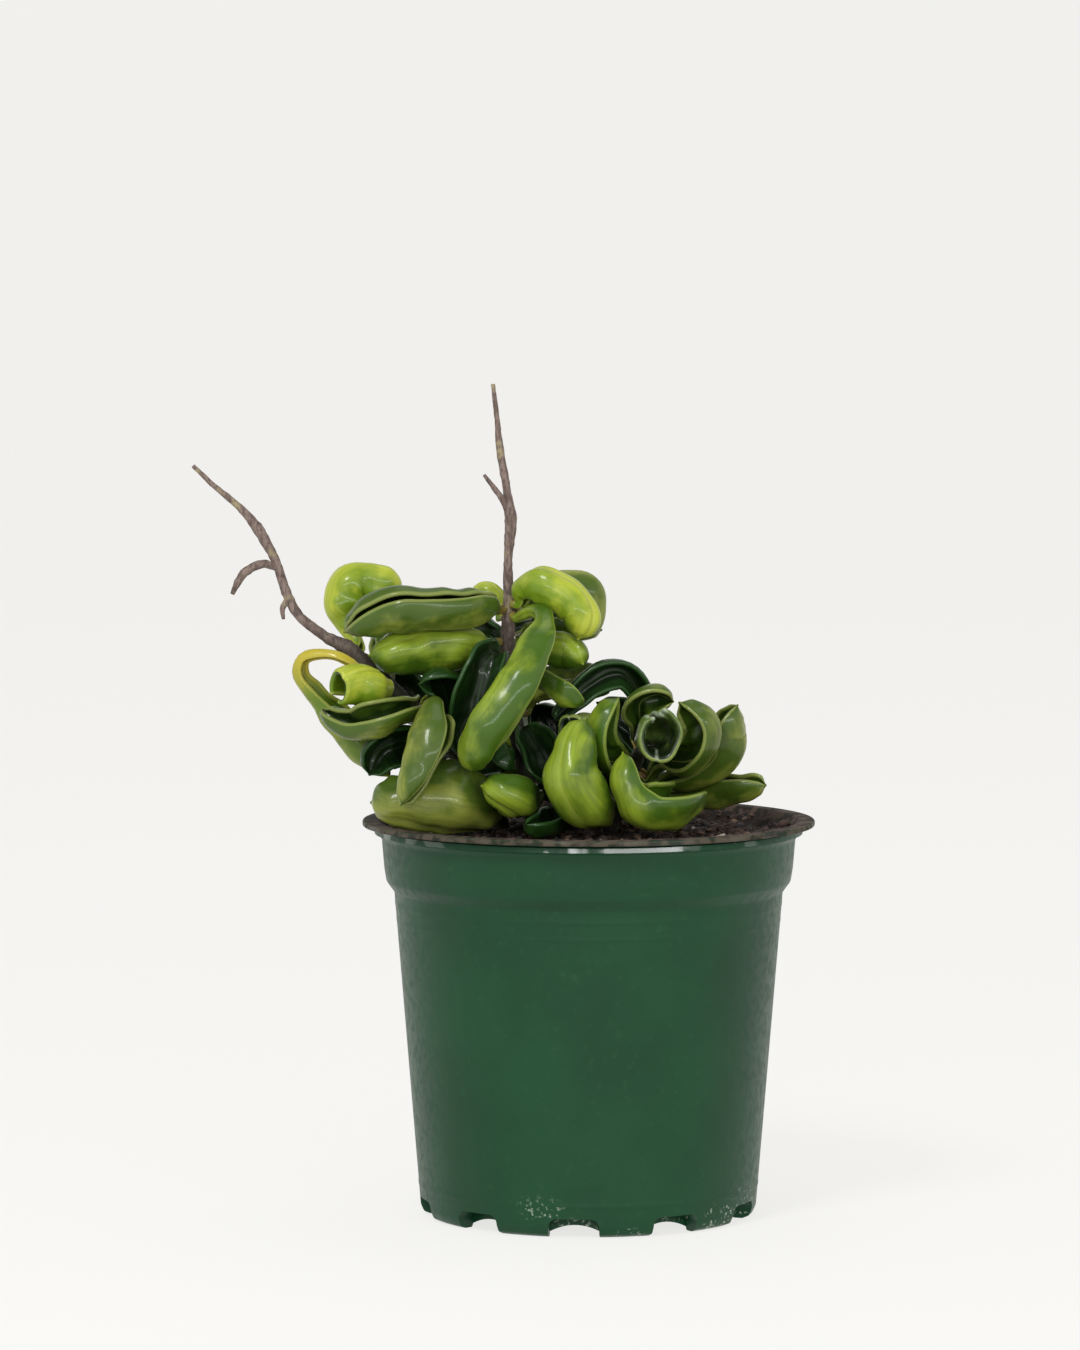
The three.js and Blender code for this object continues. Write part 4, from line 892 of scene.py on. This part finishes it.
# What some have of their own: waves along the margins, a twist in degrees, or a spiral
LEAF_EXTRAS = {
    "slit": dict(twist=-60), "wave_left": dict(wave=0.9), "wave_right": dict(wave=0.7),
    "rim": dict(wave=0.5), "large": dict(wave=0.4, waves=1), "ring": dict(wave=0.6),
    "funnel": dict(spiral=0.15),
}
LEAF_FIELDS = ("stem", "height", "slit", "roll", "tone", "path")
leaves = [dict(zip(LEAF_FIELDS, row), name=name, **LEAF_EXTRAS.get(name, {}))
          for name, row in LEAVES.items()]
print("leaves set by hand:", len(leaves))

# %% [markdown]
# ## Leaves: those at the back
# The other leaves follow a rule. Each grows backwards from its stem at a set height, alternately to
# the left and the right, and curls round towards the middle of the plant. A small seeded generator
# draws the angles and sizes, so the same leaves grow on each run.

# %% Leaves behind the stems
BACK_LEAVES = {"left": [103, 111, 119, 127], "centre": [101, 110, 119, 129, 139], "right": [98, 105]}
BACK_SEED = 43
BACK_MIDDLE_X = -12
BACK_LEAN = (5, 40)
BACK_RISE = (-10, 45)
BACK_DROOP = (1.2, 3.2)
BACK_BEND = (50, 150)
BACK_LENGTH = (25, 36)
BACK_RADIUS = (4, 6.4)
BACK_WIDTHS = (0.65, 1, 0.9)
BACK_TIP = 1.5
BACK_SLIT = ((-0.8, 0.8), (-0.6, 0.8), (-1, 1))
BACK_ROLL = (120, 160)
# The last tone, the darkest, is painted shade for every fifth leaf at the back
BACK_TONES = ("fresh", "olive", "young", "fresh", "deep")
DRAW_FACTOR, DRAW_LIMIT = 16807, 2147483647
STEM_SAMPLES = 512
NEARBY = 1e-4


def even_draws(seed):
    """A small generator of even random numbers, the same on each run."""
    state = seed
    while True:
        state = state * DRAW_FACTOR % DRAW_LIMIT
        yield state / DRAW_LIMIT


def stem_at(name, height):
    """Where a stem is at a height, its radius there and the way that it runs."""
    points = STEMS[name]
    middle = [point[:3] for point in points]
    shares = np.arange(STEM_SAMPLES + 1) / STEM_SAMPLES
    above = along_curve(middle, shares)[:, 2] >= height
    share = shares[above.argmax()] if above.any() else 1.0
    around = along_curve(middle, np.array([share, share - NEARBY, share + NEARBY]))
    return around[0], float(stem_radius(points, share)), unit(around[2] - around[1])


print("left stem at 120 mm:", stem_at("left", 120)[0].round(1))

# %% [markdown]
# Every leaf of the rule draws its numbers in the same order: how far its heading leans, its rise, its
# droop, its bend, its length, its radius, the way of its slit and how far it rolls.

# %% Leaves that grow by the rule
def back_leaves():
    draws = even_draws(BACK_SEED)
    grown = []

    def between(limits):
        return limits[0] + (limits[1] - limits[0]) * next(draws)

    for stem_name, heights in BACK_LEAVES.items():
        for i, height in enumerate(heights):
            place = stem_at(stem_name, height)[0]
            heading = math.pi / 2 + math.radians(between(BACK_LEAN)) * (-1 if i % 2 == 0 else 1)
            rise = math.radians(between(BACK_RISE))
            droop = between(BACK_DROOP)
            bend = math.radians(between(BACK_BEND)) * (-1 if place[0] < BACK_MIDDLE_X else 1)
            length = between(BACK_LENGTH)
            wide = between(BACK_RADIUS)
            radii = [share * wide for share in BACK_WIDTHS] + [BACK_TIP]
            path = []
            for k, radius in enumerate(radii):
                turn = heading + bend * k / len(radii)
                climb = rise * (1 - droop * k / len(radii))
                way = (math.cos(turn) * math.cos(climb), math.sin(turn) * math.cos(climb), math.sin(climb))
                place = place + np.array(way) * length / len(radii)
                path.append((*place, radius))
            slit = tuple(between(limits) for limits in BACK_SLIT)
            grown.append(dict(name=f"back_{stem_name}_{i + 1}", stem=stem_name, height=height, slit=slit,
                              roll=between(BACK_ROLL), tone=BACK_TONES[len(grown) % len(BACK_TONES)],
                              path=path))
    return grown


leaves += back_leaves()
print("leaves in all:", len(leaves))

# %% [markdown]
# ## Leaves: bent clear of each other
# Real leaves push each other aside as they grow. Here each leaf is a string of twelve beads along its
# middle, as thick as its roll. In each pass every bead that is too close to a bead of another leaf, to
# a stem or to the ground is pushed away, and the pushes are spread along the leaf so that it bends in
# a smooth line. All beads are pushed at once with arrays, which takes a second or two.

# %% Strings of beads that push each other apart
STALK_RADIUS = 1.15
STALK_LENGTH = 1.8
BEADS = 12
CLEAR = 0.7
PASSES = 120
PUSH = 0.4
EASINGS = 4
FREE_FROM = 3
POSTS = 60
RIM_INSIDE = 44
RIM_BLEND = 5
TIP_POINTED = 2


def leaf_path(leaf):
    """The middle of a leaf: out of the side of its stem, or on from the stem's end, then its places."""
    first = np.array(leaf["path"][0][:3], float)
    if leaf["height"] == "top":
        spot, _, out = stem_at(leaf["stem"], math.inf)
        root = spot + out * GAP
    else:
        spot, radius, way = stem_at(leaf["stem"], leaf["height"])
        out = unit((first - spot) - way * np.dot(first - spot, way))
        root = spot + out * (radius + GAP)
    return np.vstack([root, root + out * STALK_LENGTH, [point[:3] for point in leaf["path"]]])


def leaf_radius(leaf, shares):
    """The radius of the roll along a leaf: eased between its places, and narrowing to the tip."""
    radii = np.array([STALK_RADIUS, STALK_RADIUS] + [point[3] for point in leaf["path"]])
    at = np.asarray(shares) * (len(radii) - 1)
    low = np.minimum(at.astype(int), len(radii) - 2)
    part = at - low
    eased = radii[low] + (radii[low + 1] - radii[low]) * smoothstep(part)
    tip = radii[-2] + (radii[-1] - radii[-2]) * part ** TIP_POINTED
    return np.where(low == len(radii) - 2, tip, eased)


def ground_at(x, y):
    blend_out = smoothstep((np.hypot(x, y) - RIM_INSIDE) / RIM_BLEND)
    low = SOIL_TOP_Z + SOIL_LUMP
    return low + (POT_HEIGHT - low) * blend_out + GAP


def pushes_from(places, radii, others, other_radii):
    """For each bead, a unit way from each other bead and how much nearer than clear it is."""
    apart = places[:, None] - others[None]
    far = np.linalg.norm(apart, axis=2)
    lack = np.maximum(0, radii[:, None] + other_radii[None] + CLEAR - far)
    return apart / np.maximum(far, 1e-9)[..., None], lack


print("each leaf:", BEADS, "beads")

# %% [markdown]
# The first bead of a leaf stays at its stem and the next two yield only in part, so leaves move and
# stems don't. A stem doesn't push the first bead of its own leaves, nor the leaf that ends it.

# %% All leaves pushed apart at once
def bend_clear():
    shares = np.linspace(0, 1, BEADS)
    count = len(leaves)
    beads = np.array([along_curve(leaf_path(leaf), shares) for leaf in leaves])
    radii = np.array([leaf_radius(leaf, shares) * (1 + leaf.get("spiral", 0)) for leaf in leaves]).ravel()
    ease = np.tile(np.minimum(1, np.arange(BEADS) / FREE_FROM), count)
    own = np.repeat(np.arange(count), BEADS)
    yields = np.where(ease[:, None] > 0, ease[:, None] / np.maximum(ease[:, None] + ease[None], 1e-9), 0)
    yields = np.where(own[:, None] == own[None], 0, yields)
    posts, post_radii, post_stems = [], [], []
    for stem_name, points in STEMS.items():
        steps = np.linspace(0, 1, POSTS + 1)
        posts.append(along_curve([point[:3] for point in points], steps))
        post_radii.append(stem_radius(points, steps))
        post_stems += [stem_name] * (POSTS + 1)
    posts, post_radii = np.vstack(posts), np.concatenate(post_radii)
    held = np.array([[k == 0 or leaf["height"] == "top" for k in range(BEADS)] for leaf in leaves]).ravel()
    stem_of = np.repeat([leaf["stem"] for leaf in leaves], BEADS)
    pushed_by = ~(held[:, None] & (stem_of[:, None] == np.array(post_stems)[None]))
    for _ in range(PASSES):
        places = beads.reshape(-1, 3)
        ways, lack = pushes_from(places, radii, places, radii)
        pushes = (ways * (PUSH * yields * lack)[..., None]).sum(axis=1)
        ways, lack = pushes_from(places, radii, posts, post_radii)
        pushes += (ways * (PUSH * pushed_by * lack)[..., None]).sum(axis=1)
        pushes[:, 2] += np.maximum(0, ground_at(places[:, 0], places[:, 1]) + radii - places[:, 2])
        pushes = pushes.reshape(count, BEADS, 3)
        for _ in range(EASINGS):
            before = np.concatenate([pushes[:, :1], pushes[:, :-1]], axis=1)
            after = np.concatenate([pushes[:, 1:], pushes[:, -1:]], axis=1)
            pushes = 0.5 * pushes + 0.25 * before + 0.25 * after
        beads = beads + pushes * ease.reshape(count, BEADS, 1)
    return beads


settled = bend_clear()
print("beads settled:", settled.shape[0] * settled.shape[1])

# %% [markdown]
# ## Leaves: the shape
# Each leaf is a thick sheet rolled round its settled middle line. A ring round the sheet has an outer
# arc (the leaf's back), a rounded margin, an inner arc (its face) and the other margin. The rings are
# the same for every leaf, so they are told once: how far across the leaf each point is, how far from
# its back to its face, and how far out on a margin. At both ends a few more rings turn in.

# %% The rings round the sheet
LEAF_ROWS = 64
LEAF_COLUMNS = 40
MARGIN_STEPS = 4
END_STEPS = 4
END_TURN = 78
ROWS_TO_ENDS = 0.55


def stations_along(rows):
    """Shares of the way along, closer together towards the ends."""
    turns = np.linspace(0, 2 * math.pi, rows + 1)
    return (turns - ROWS_TO_ENDS * np.sin(turns)) / (2 * math.pi)


LEAF_SHARES = stations_along(LEAF_ROWS)
end_turns = np.linspace(0, math.radians(END_TURN), END_STEPS + 1)[1:]
# For each ring, which share it stands at and how far it has turned in
LEAF_RINGS = [(0, -turn) for turn in end_turns[::-1]] + [(i, 0) for i in range(LEAF_ROWS + 1)]
LEAF_RINGS += [(LEAF_ROWS, turn) for turn in end_turns]
arc = np.linspace(-1, 1, LEAF_COLUMNS + 1)
margin = np.linspace(0, math.pi, MARGIN_STEPS + 2)[1:-1]
ACROSS = np.concatenate([arc, np.ones(MARGIN_STEPS), arc[::-1], -np.ones(MARGIN_STEPS)])
TO_FACE = np.concatenate([np.zeros(len(arc)), (1 - np.cos(margin)) / 2, np.ones(len(arc)),
                          (1 + np.cos(margin)) / 2])
ON_MARGIN = np.concatenate([np.zeros(len(arc)), np.sin(margin), np.zeros(len(arc)), np.sin(margin)])


def end_faces(start, flip):
    """The cut end of a sheet: quads between its back and its face, and one face in each margin."""
    points, strip = len(ACROSS), len(arc)
    inner = [start + strip + MARGIN_STEPS + (strip - 1 - j) for j in range(strip)]
    faces = [(start + j, start + j + 1, inner[j + 1], inner[j]) for j in range(strip - 1)]
    faces.append((start + strip - 1, *range(start + strip, start + strip + MARGIN_STEPS), inner[-1]))
    faces.append((inner[0], *range(start + points - MARGIN_STEPS, start + points), start))
    return [face if flip else face[::-1] for face in faces]


LEAF_FACES = joined_rings(len(LEAF_RINGS), len(ACROSS))
LEAF_FACES += end_faces(0, False) + end_faces((len(LEAF_RINGS) - 1) * len(ACROSS), True)
print("each leaf:", len(LEAF_RINGS), "rings of", len(ACROSS), "points")

# %% [markdown]
# The roll is narrowed where the line bends sharply, so that a leaf never folds into itself. The
# surface swells and ripples a little, the midrib is a shallow groove, and the tip closes to a soft
# point. Each point also carries how far along and across the leaf it is, which the finish reads.

# %% Sizes of the roll and its details
LEAF_THICK = 1.7
MARGIN_THINNER = 0.35
THICK_SHARE = 0.6
STALK_OPENS = 0.25
STALK_ROLL = 0.8
BEND_SHARE = 0.8
COARSE_ROWS = 9
MIDRIB_GROOVE = 0.1
MIDRIB_WIDTH = 0.16
CREASE = 0.28
CREASE_WIDTH = 0.5
LUMP = 0.045
LUMPS = 2.3
LUMP_SHIFTS = (2.4, 1.3)
WAVE = 0.3
WAVES = 2
WAVES_START = 0.3
SIDES_APART = 0.9
TWIST = 40
FOLD = 0.08
PLUMP = 0.35
PLUMP_ENDS = (0.2, 0.15)
TIP_FROM = 0.955
TIP_CLOSED = 0.04
OPEN_MOUTH = 3
CRUMPLE = 0.65
CRUMPLE_SIZE = 5
PLEAT = 0.2
PLEAT_SIZE = (9, 2.6)
# A thin roll has weaker details: in full from these radii on
DETAIL_RADIUS = 3
WAVE_RADIUS = 2
print("leaf sheets:", LEAF_THICK, "mm thick at the midrib")

# %% [markdown]
# Three functions form the roll. One narrows it where the line bends, one gives the small dents and
# pleats of the skin, and one says how far out the leaf's back is.

# %% How a leaf's roll is formed

def bend_limit(leaf, spots):
    """How much narrower the roll is than asked for, at shares along the leaf, where it bends sharply."""
    stations = stations_along(COARSE_ROWS)
    middles = along_curve(spots, stations)
    asked = leaf_radius(leaf, stations)
    k = np.clip(np.arange(COARSE_ROWS + 1), 1, COARSE_ROWS - 1)
    a, b, c = middles[k - 1], middles[k], middles[k + 1]
    area = np.linalg.norm(np.cross(c - a, b - a), axis=1) / 2
    sides = [np.linalg.norm(p - q, axis=1) for p, q in ((a, b), (b, c), (a, c))]
    round_bend = sides[0] * sides[1] * sides[2] / np.maximum(4 * area, 1e-6)
    limited = np.minimum(asked, BEND_SHARE * round_bend)
    padded = np.concatenate([limited[:1], limited, limited[-1:]])
    limited = np.minimum(limited, 0.25 * padded[:-2] + 0.5 * limited + 0.25 * padded[2:])
    return stations, limited / asked


def crumpled(along_leaf, aside_leaf, order):
    """Dents 5 mm across and pleats 3 mm wide, in millimetres, at places on one leaf."""
    dents = [noise.noise(Vector((along_leaf, aside, 0)) / CRUMPLE_SIZE + Vector((0, 0, 7.3 * order)))
             for aside in aside_leaf]
    pleats = [noise.noise(Vector((along_leaf / PLEAT_SIZE[0], aside / PLEAT_SIZE[1], 3.1 * order)))
              for aside in aside_leaf]
    return CRUMPLE * np.array(dents) + PLEAT * np.array(pleats)


def ring_form(leaf, order, u, radius, opened):
    """How far from the middle line the leaf's back is, at each point of a ring."""
    side = np.sign(ACROSS) * SIDES_APART
    wave = leaf.get("wave", WAVE) * smoothstep(u / WAVES_START)
    wave *= min(1, radius / WAVE_RADIUS)
    ripple = wave * ACROSS ** 4 * np.sin(2 * math.pi * leaf.get("waves", WAVES) * u + side)
    groove = MIDRIB_GROOVE * np.exp(-(ACROSS / MIDRIB_WIDTH) ** 2)
    swell = LUMP * np.sin(2 * math.pi * LUMPS * u + LUMP_SHIFTS[0] * order
                          + LUMP_SHIFTS[1] * side * abs(ACROSS))
    fold = FOLD * np.cos(2 * ACROSS * opened)
    plump = PLUMP * smoothstep(u / PLUMP_ENDS[0]) * smoothstep((1 - u) / PLUMP_ENDS[1])
    form = radius * (1 + leaf.get("spiral", 0) * ACROSS - groove + swell + fold) + ripple + plump
    # The midrib is a crisp crease half a millimetre wide on the leaf's back
    crease = np.exp(-(ACROSS * opened * radius / CREASE_WIDTH) ** 2) * (1 - TO_FACE)
    return form - CREASE * min(1, radius / DETAIL_RADIUS) * crease


print("a dent in a leaf:", crumpled(10, [4], 0).round(3), "mm")

# %% [markdown]
# A leaf is then built ring by ring. Each ring is a little more open than the last until the stalk is
# left behind, turns a little further, and is pushed in and out by the form and by the small dents.

# %% One rolled leaf
def rolled_leaf(leaf, spots, order):
    twist = math.radians(leaf.get("twist", TWIST * (-1) ** order))
    stations, narrower = bend_limit(leaf, spots)
    middles = along_curve(spots, LEAF_SHARES)
    middle_row = int(np.argmin(abs(LEAF_SHARES - stations[(COARSE_ROWS + 1) // 2])))
    along, ups, sides = carried_frames(middles, np.array(leaf["slit"], float), middle_row)
    base = leaf_radius(leaf, LEAF_SHARES) * np.interp(LEAF_SHARES, stations, narrower)
    if leaf["path"][-1][3] <= OPEN_MOUTH:
        closing = smoothstep((LEAF_SHARES - TIP_FROM) / (1 - TIP_FROM))
        base = base * np.sqrt(np.maximum(TIP_CLOSED, 1 - closing))
    length = np.concatenate([[0], np.cumsum(np.linalg.norm(np.diff(middles, axis=0), axis=1))])

    points, data = [], {"along": [], "across": [], "face": [], "spread": []}
    for i, end_turn in LEAF_RINGS:
        u, radius = LEAF_SHARES[i], base[i]
        thick = np.minimum(LEAF_THICK * (1 - MARGIN_THINNER * ACROSS ** 2), THICK_SHARE * radius)
        half = thick / 2
        opened = math.radians(leaf["roll"]) * (STALK_ROLL + (1 - STALK_ROLL) * smoothstep(u / STALK_OPENS))
        aside = ACROSS * opened * radius
        # The margin's bead bulges past the arc, so the arc itself stops half a thickness short
        short = np.minimum(0.4, 0.5 * thick / np.maximum(radius * opened, 0.1))
        turn = ACROSS * opened * (1 - short) + twist * (u - 0.5)
        tuck = half * (1 - math.cos(end_turn))
        inward = half + (TO_FACE * thick - half) * (1 - tuck / half)
        bulge = ON_MARGIN * half * np.sign(ACROSS) * math.cos(end_turn)
        reach = ring_form(leaf, order, u, radius, opened) - inward
        reach = reach + min(1, radius / DETAIL_RADIUS) * crumpled(length[i], aside, order)
        spot = middles[i] + along[i] * half.mean() * math.sin(end_turn)
        out = sides[i] * np.sin(turn)[:, None] - ups[i] * np.cos(turn)[:, None]
        tangent = sides[i] * np.cos(turn)[:, None] + ups[i] * np.sin(turn)[:, None]
        points.append(spot + out * reach[:, None] + tangent * bulge[:, None])
        same = np.ones(len(ACROSS))
        for key, values in (("along", u * same), ("across", ACROSS), ("face", TO_FACE),
                            ("spread", np.stack([length[i] * same, aside, 9.0 * order * same], axis=1))):
            data[key].append(values)
    attributes = {key: np.concatenate(values) for key, values in data.items()}
    return mesh_object(f"leaf_{leaf['name']}_rolled", np.vstack(points), LEAF_FACES, attributes)


rolled = [rolled_leaf(leaf, settled[order], order) for order, leaf in enumerate(leaves)]
print("rolled leaves:", len(rolled), "with", sum(len(piece.data.polygons) for piece in rolled), "faces")

# %% [markdown]
# ## Leaves: the finish
# The leaf is a living succulent blade with a thick skin of natural wax. It is too thick to let light
# through, so the green is a plain surface colour, and the wax adds a clear, soft gloss over it. The
# back is paler and yellower than the face. Streaks along the leaf are about a millimetre wide and a
# dozen long, the midrib is a paler line, the margin is thin and pale, and the stalk is brownish. Light
# and shade are painted into these colours too: the back is painted paler over the midrib and greener
# towards the margins, the face is painted darker than it is, most of all in the depth of the roll, the
# darkest tone is painted shade, and the pale tone's whitish margin is a painted highlight. One function
# makes the finish, and each tone of leaf is a set of colours, with how far along the leaf its stalk's
# colour reaches and how far out its pale margin starts.

# %% Waxy leaf skin in six tones
# For each: its back, face, streaks, margin and stalk, the stalk's reach and where the margin starts
TONES = {
    # Every face colour is darker than a real face, as painted shade inside the rolls
    "young": ("#A2AB36", "#2C4208", "#5E7A12", "#B4B956", "#7A6A34", 0.1, 0.97),
    "fresh": ("#7C8F27", "#1A3006", "#34520B", "#95A445", "#7A6A34", 0.1, 0.97),
    "olive": ("#7A8234", "#1A2E08", "#384F12", "#929A52", "#7A6232", 0.15, 0.97),
    # The darkest tone is painted shade: even its back is dark, for leaves in the depth of the plant
    "deep": ("#1E3C10", "#0E1F08", "#16310C", "#2A4C20", "#4A4A24", 0.1, 0.97),
    "ochre": ("#838A28", "#24380A", "#54701A", "#9D9A40", "#B3A134", 0.7, 0.97),
    # The pale tone's whitish margin colour is a painted highlight on the wax
    "pale": ("#7E8C46", "#0E1C06", "#4C6228", "#B4C0AA", "#7A6232", 0.1, 0.93),
}
INNER_WORDS = ("inner", "hollow", "arch", "dark")


def waxy_leaf_skin(tone, back, face, streak, margin, stalk, stalk_to, margin_from):
    material = empty_material(f"waxy leaf skin, {tone}")
    back, face, streak, margin, stalk = [linear(colour) for colour in (back, face, streak, margin, stalk)]
    spread = add_node(material, "Attribute", output="Vector", attribute_name="spread")
    inner, across, along = [add_node(material, "Attribute", output="Fac", attribute_name=name)
                            for name in ("face", "across", "along")]
    aside = add_node(material, "Math", {0: across}, operation="ABSOLUTE")
    # Streaks 1.2 mm wide and 12 mm long, and clouds of darker green 7 mm across
    drawn = add_node(material, "Mapping", {"Vector": spread, "Scale": (1 / 12, 1 / 1.2, 1)})
    streaks = add_node(material, "TexNoise", {"Vector": drawn, "Scale": 1, "Detail": 3})
    clouds = add_node(material, "TexNoise", {"Vector": spread, "Scale": 1 / 7, "Detail": 3})
    # The back is painted palest over the midrib and greener towards the margins, as painted light and shade
    sides = add_node(material, "Math", {0: clouds, 1: 2, 2: aside}, operation="MULTIPLY_ADD")
    colour = laid_over(material, back, streak, sides, 1.1, 1.8, 0.95)
    colour = laid_over(material, colour, streak, streaks, 0.44, 0.64, 0.28)
    # Painted shade and light: the face is dark in the depth of the roll, and painted greener out towards
    # its margins
    face = laid_over(material, face, streak, sides, 1.3, 1.9, 0.85)
    colour = laid_over(material, colour, face, inner, 0.3, 0.7)
    colour = laid_over(material, colour, margin, aside, 0.05, 0.01, 0.35)
    colour = laid_over(material, colour, margin, aside, margin_from, 1.0, 0.45)
    colour = laid_over(material, colour, stalk, along, stalk_to, 0.6 * stalk_to, 0.8)
    limits = {VALUE: clouds, LOW: 0.3, HIGH: 0.7, TO_LOW: 0.38, TO_HIGH: 0.52}
    rough = add_node(material, "MapRange", limits, **EASED)
    # Pores and fine wrinkles in the wax are a fifth of a millimetre, drawn at a third to show at all
    pores = add_node(material, "TexNoise", {"Vector": spread, "Scale": 1 / 0.33, "Detail": 1})
    height = add_node(material, "Mix", {SHARE: 0.25, FIRST: streaks, SECOND: pores}, **OF_COLOURS)
    return coat_piece(material, {
        "Base Color": colour, "Roughness": rough, "IOR": 1.45, "Specular IOR Level": 0.2,
        "Coat Weight": 0.42, "Coat Roughness": 0.16, "Coat IOR": 1.45,
    }, {"Height": height, "Strength": 0.5, "Distance": 0.28 * MM})


SKINS = {tone: waxy_leaf_skin(tone, *values) for tone, values in TONES.items()}
for leaf, piece in zip(leaves, rolled):
    node = f"leaf_{leaf['name']}"
    dark = any(word in node for word in INNER_WORDS)
    place_piece(piece, SKINS[leaf["tone"]], "leaf_inner" if dark else "leaf", node)
print("leaf finishes:", ", ".join(SKINS))

# %% [markdown]
# ## Floor and backdrop
# The plant stands in a plain pale studio. A floor that bends up into a wall all round has no corner to
# show and looks the same from every side. It is matt acrylic, lit from behind as a product table is,
# so that the shadow on it stays faint and the background is even.

# %% A pale sweep all round
FLOOR_REACH = 1900
WALL_REACH = 2900
WALL_TOP = 2600
SWEEP_HOLE = 1
SWEEP_STEPS = 12
SWEEP_SIDES = 96
TABLE_GLOW = 0.83


def studio_sweep():
    bend = WALL_REACH - FLOOR_REACH
    profile = [(SWEEP_HOLE, 0), (FLOOR_REACH / 2, 0)]
    for turn in np.linspace(0, math.pi / 2, SWEEP_STEPS):
        profile.append((FLOOR_REACH + bend * math.sin(turn), bend * (1 - math.cos(turn))))
    profile.append((WALL_REACH, WALL_TOP))
    rings = turned(profile, SWEEP_SIDES)
    faces = joined_rings(len(rings), SWEEP_SIDES) + [tuple(range(SWEEP_SIDES))]
    return mesh_object("studio_sweep", rings.reshape(-1, 3), faces)


def backlit_acrylic(white, glow):
    material = empty_material("matt acrylic, lit from behind")
    return coat_piece(material, {
        "Base Color": white, "Roughness": 0.95, "Specular IOR Level": 0.1,
        "Emission Color": glow, "Emission Strength": TABLE_GLOW,
    })


sweep = studio_sweep()
sweep.data.materials.append(backlit_acrylic(linear("#6E6E6C"), linear("#F5F4F2")))
sweep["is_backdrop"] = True
print("sweep:", len(sweep.data.polygons), "faces")

# %% [markdown]
# ## Lights
# A square light stands high at the front left, as a window would, and gives the leaves their
# highlights. A long low strip over the camera puts the glints on the wax and on the ledge under the
# lip. A weak one on the right and one above open the shadows, and an even pale sky fills what is left.

# %% Soft studio light
PLANT = (0, 0, 110)
LIGHTS = {
    "key": dict(place=(-520, -1050, 1250), size=(380, 380), power=14),
    "strip": dict(place=(330, -1480, 530), size=(2400, 110), power=12),
    "fill": dict(place=(1300, -300, 700), size=(700, 900), power=0.5),
    "top": dict(place=(150, 350, 1500), size=(900, 900), power=3),
}
SKY = "#F4F5F7"
SKY_STRENGTH = 0.3

for name, light in LIGHTS.items():
    data = bpy.data.lights.new(name, "AREA")
    data.shape = "RECTANGLE"
    data.size, data.size_y = np.array(light["size"]) * MM
    data.energy = light["power"]
    lamp = bpy.data.objects.new(name, data)
    lamp.location = to_frame(light["place"])
    back = Vector(np.subtract(light["place"], PLANT))
    lamp.rotation_euler = back.to_track_quat("Z", "Y").to_euler()
    bpy.context.collection.objects.link(lamp)

world = bpy.data.worlds.new("pale sky")
world.use_nodes = True
background = world.node_tree.nodes["Background"]
background.inputs["Color"].default_value = linear(SKY)
background.inputs["Strength"].default_value = SKY_STRENGTH
bpy.context.scene.world = world
bpy.context.scene.view_settings.view_transform = "Standard"
print("lights:", ", ".join(LIGHTS))

# %% [markdown]
# ## The size of the finer model
# Both boxes are measured, and the print shows by how much the finer pieces are larger than the imported
# ones. The finer pieces have to stay the size of the imported ones.

# %% Both boxes
low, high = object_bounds()
growth = [round((b - a) / MM, 2) for a, b in zip(cad_high - cad_low, high - low)]
print("visual model is larger by", growth, "mm")
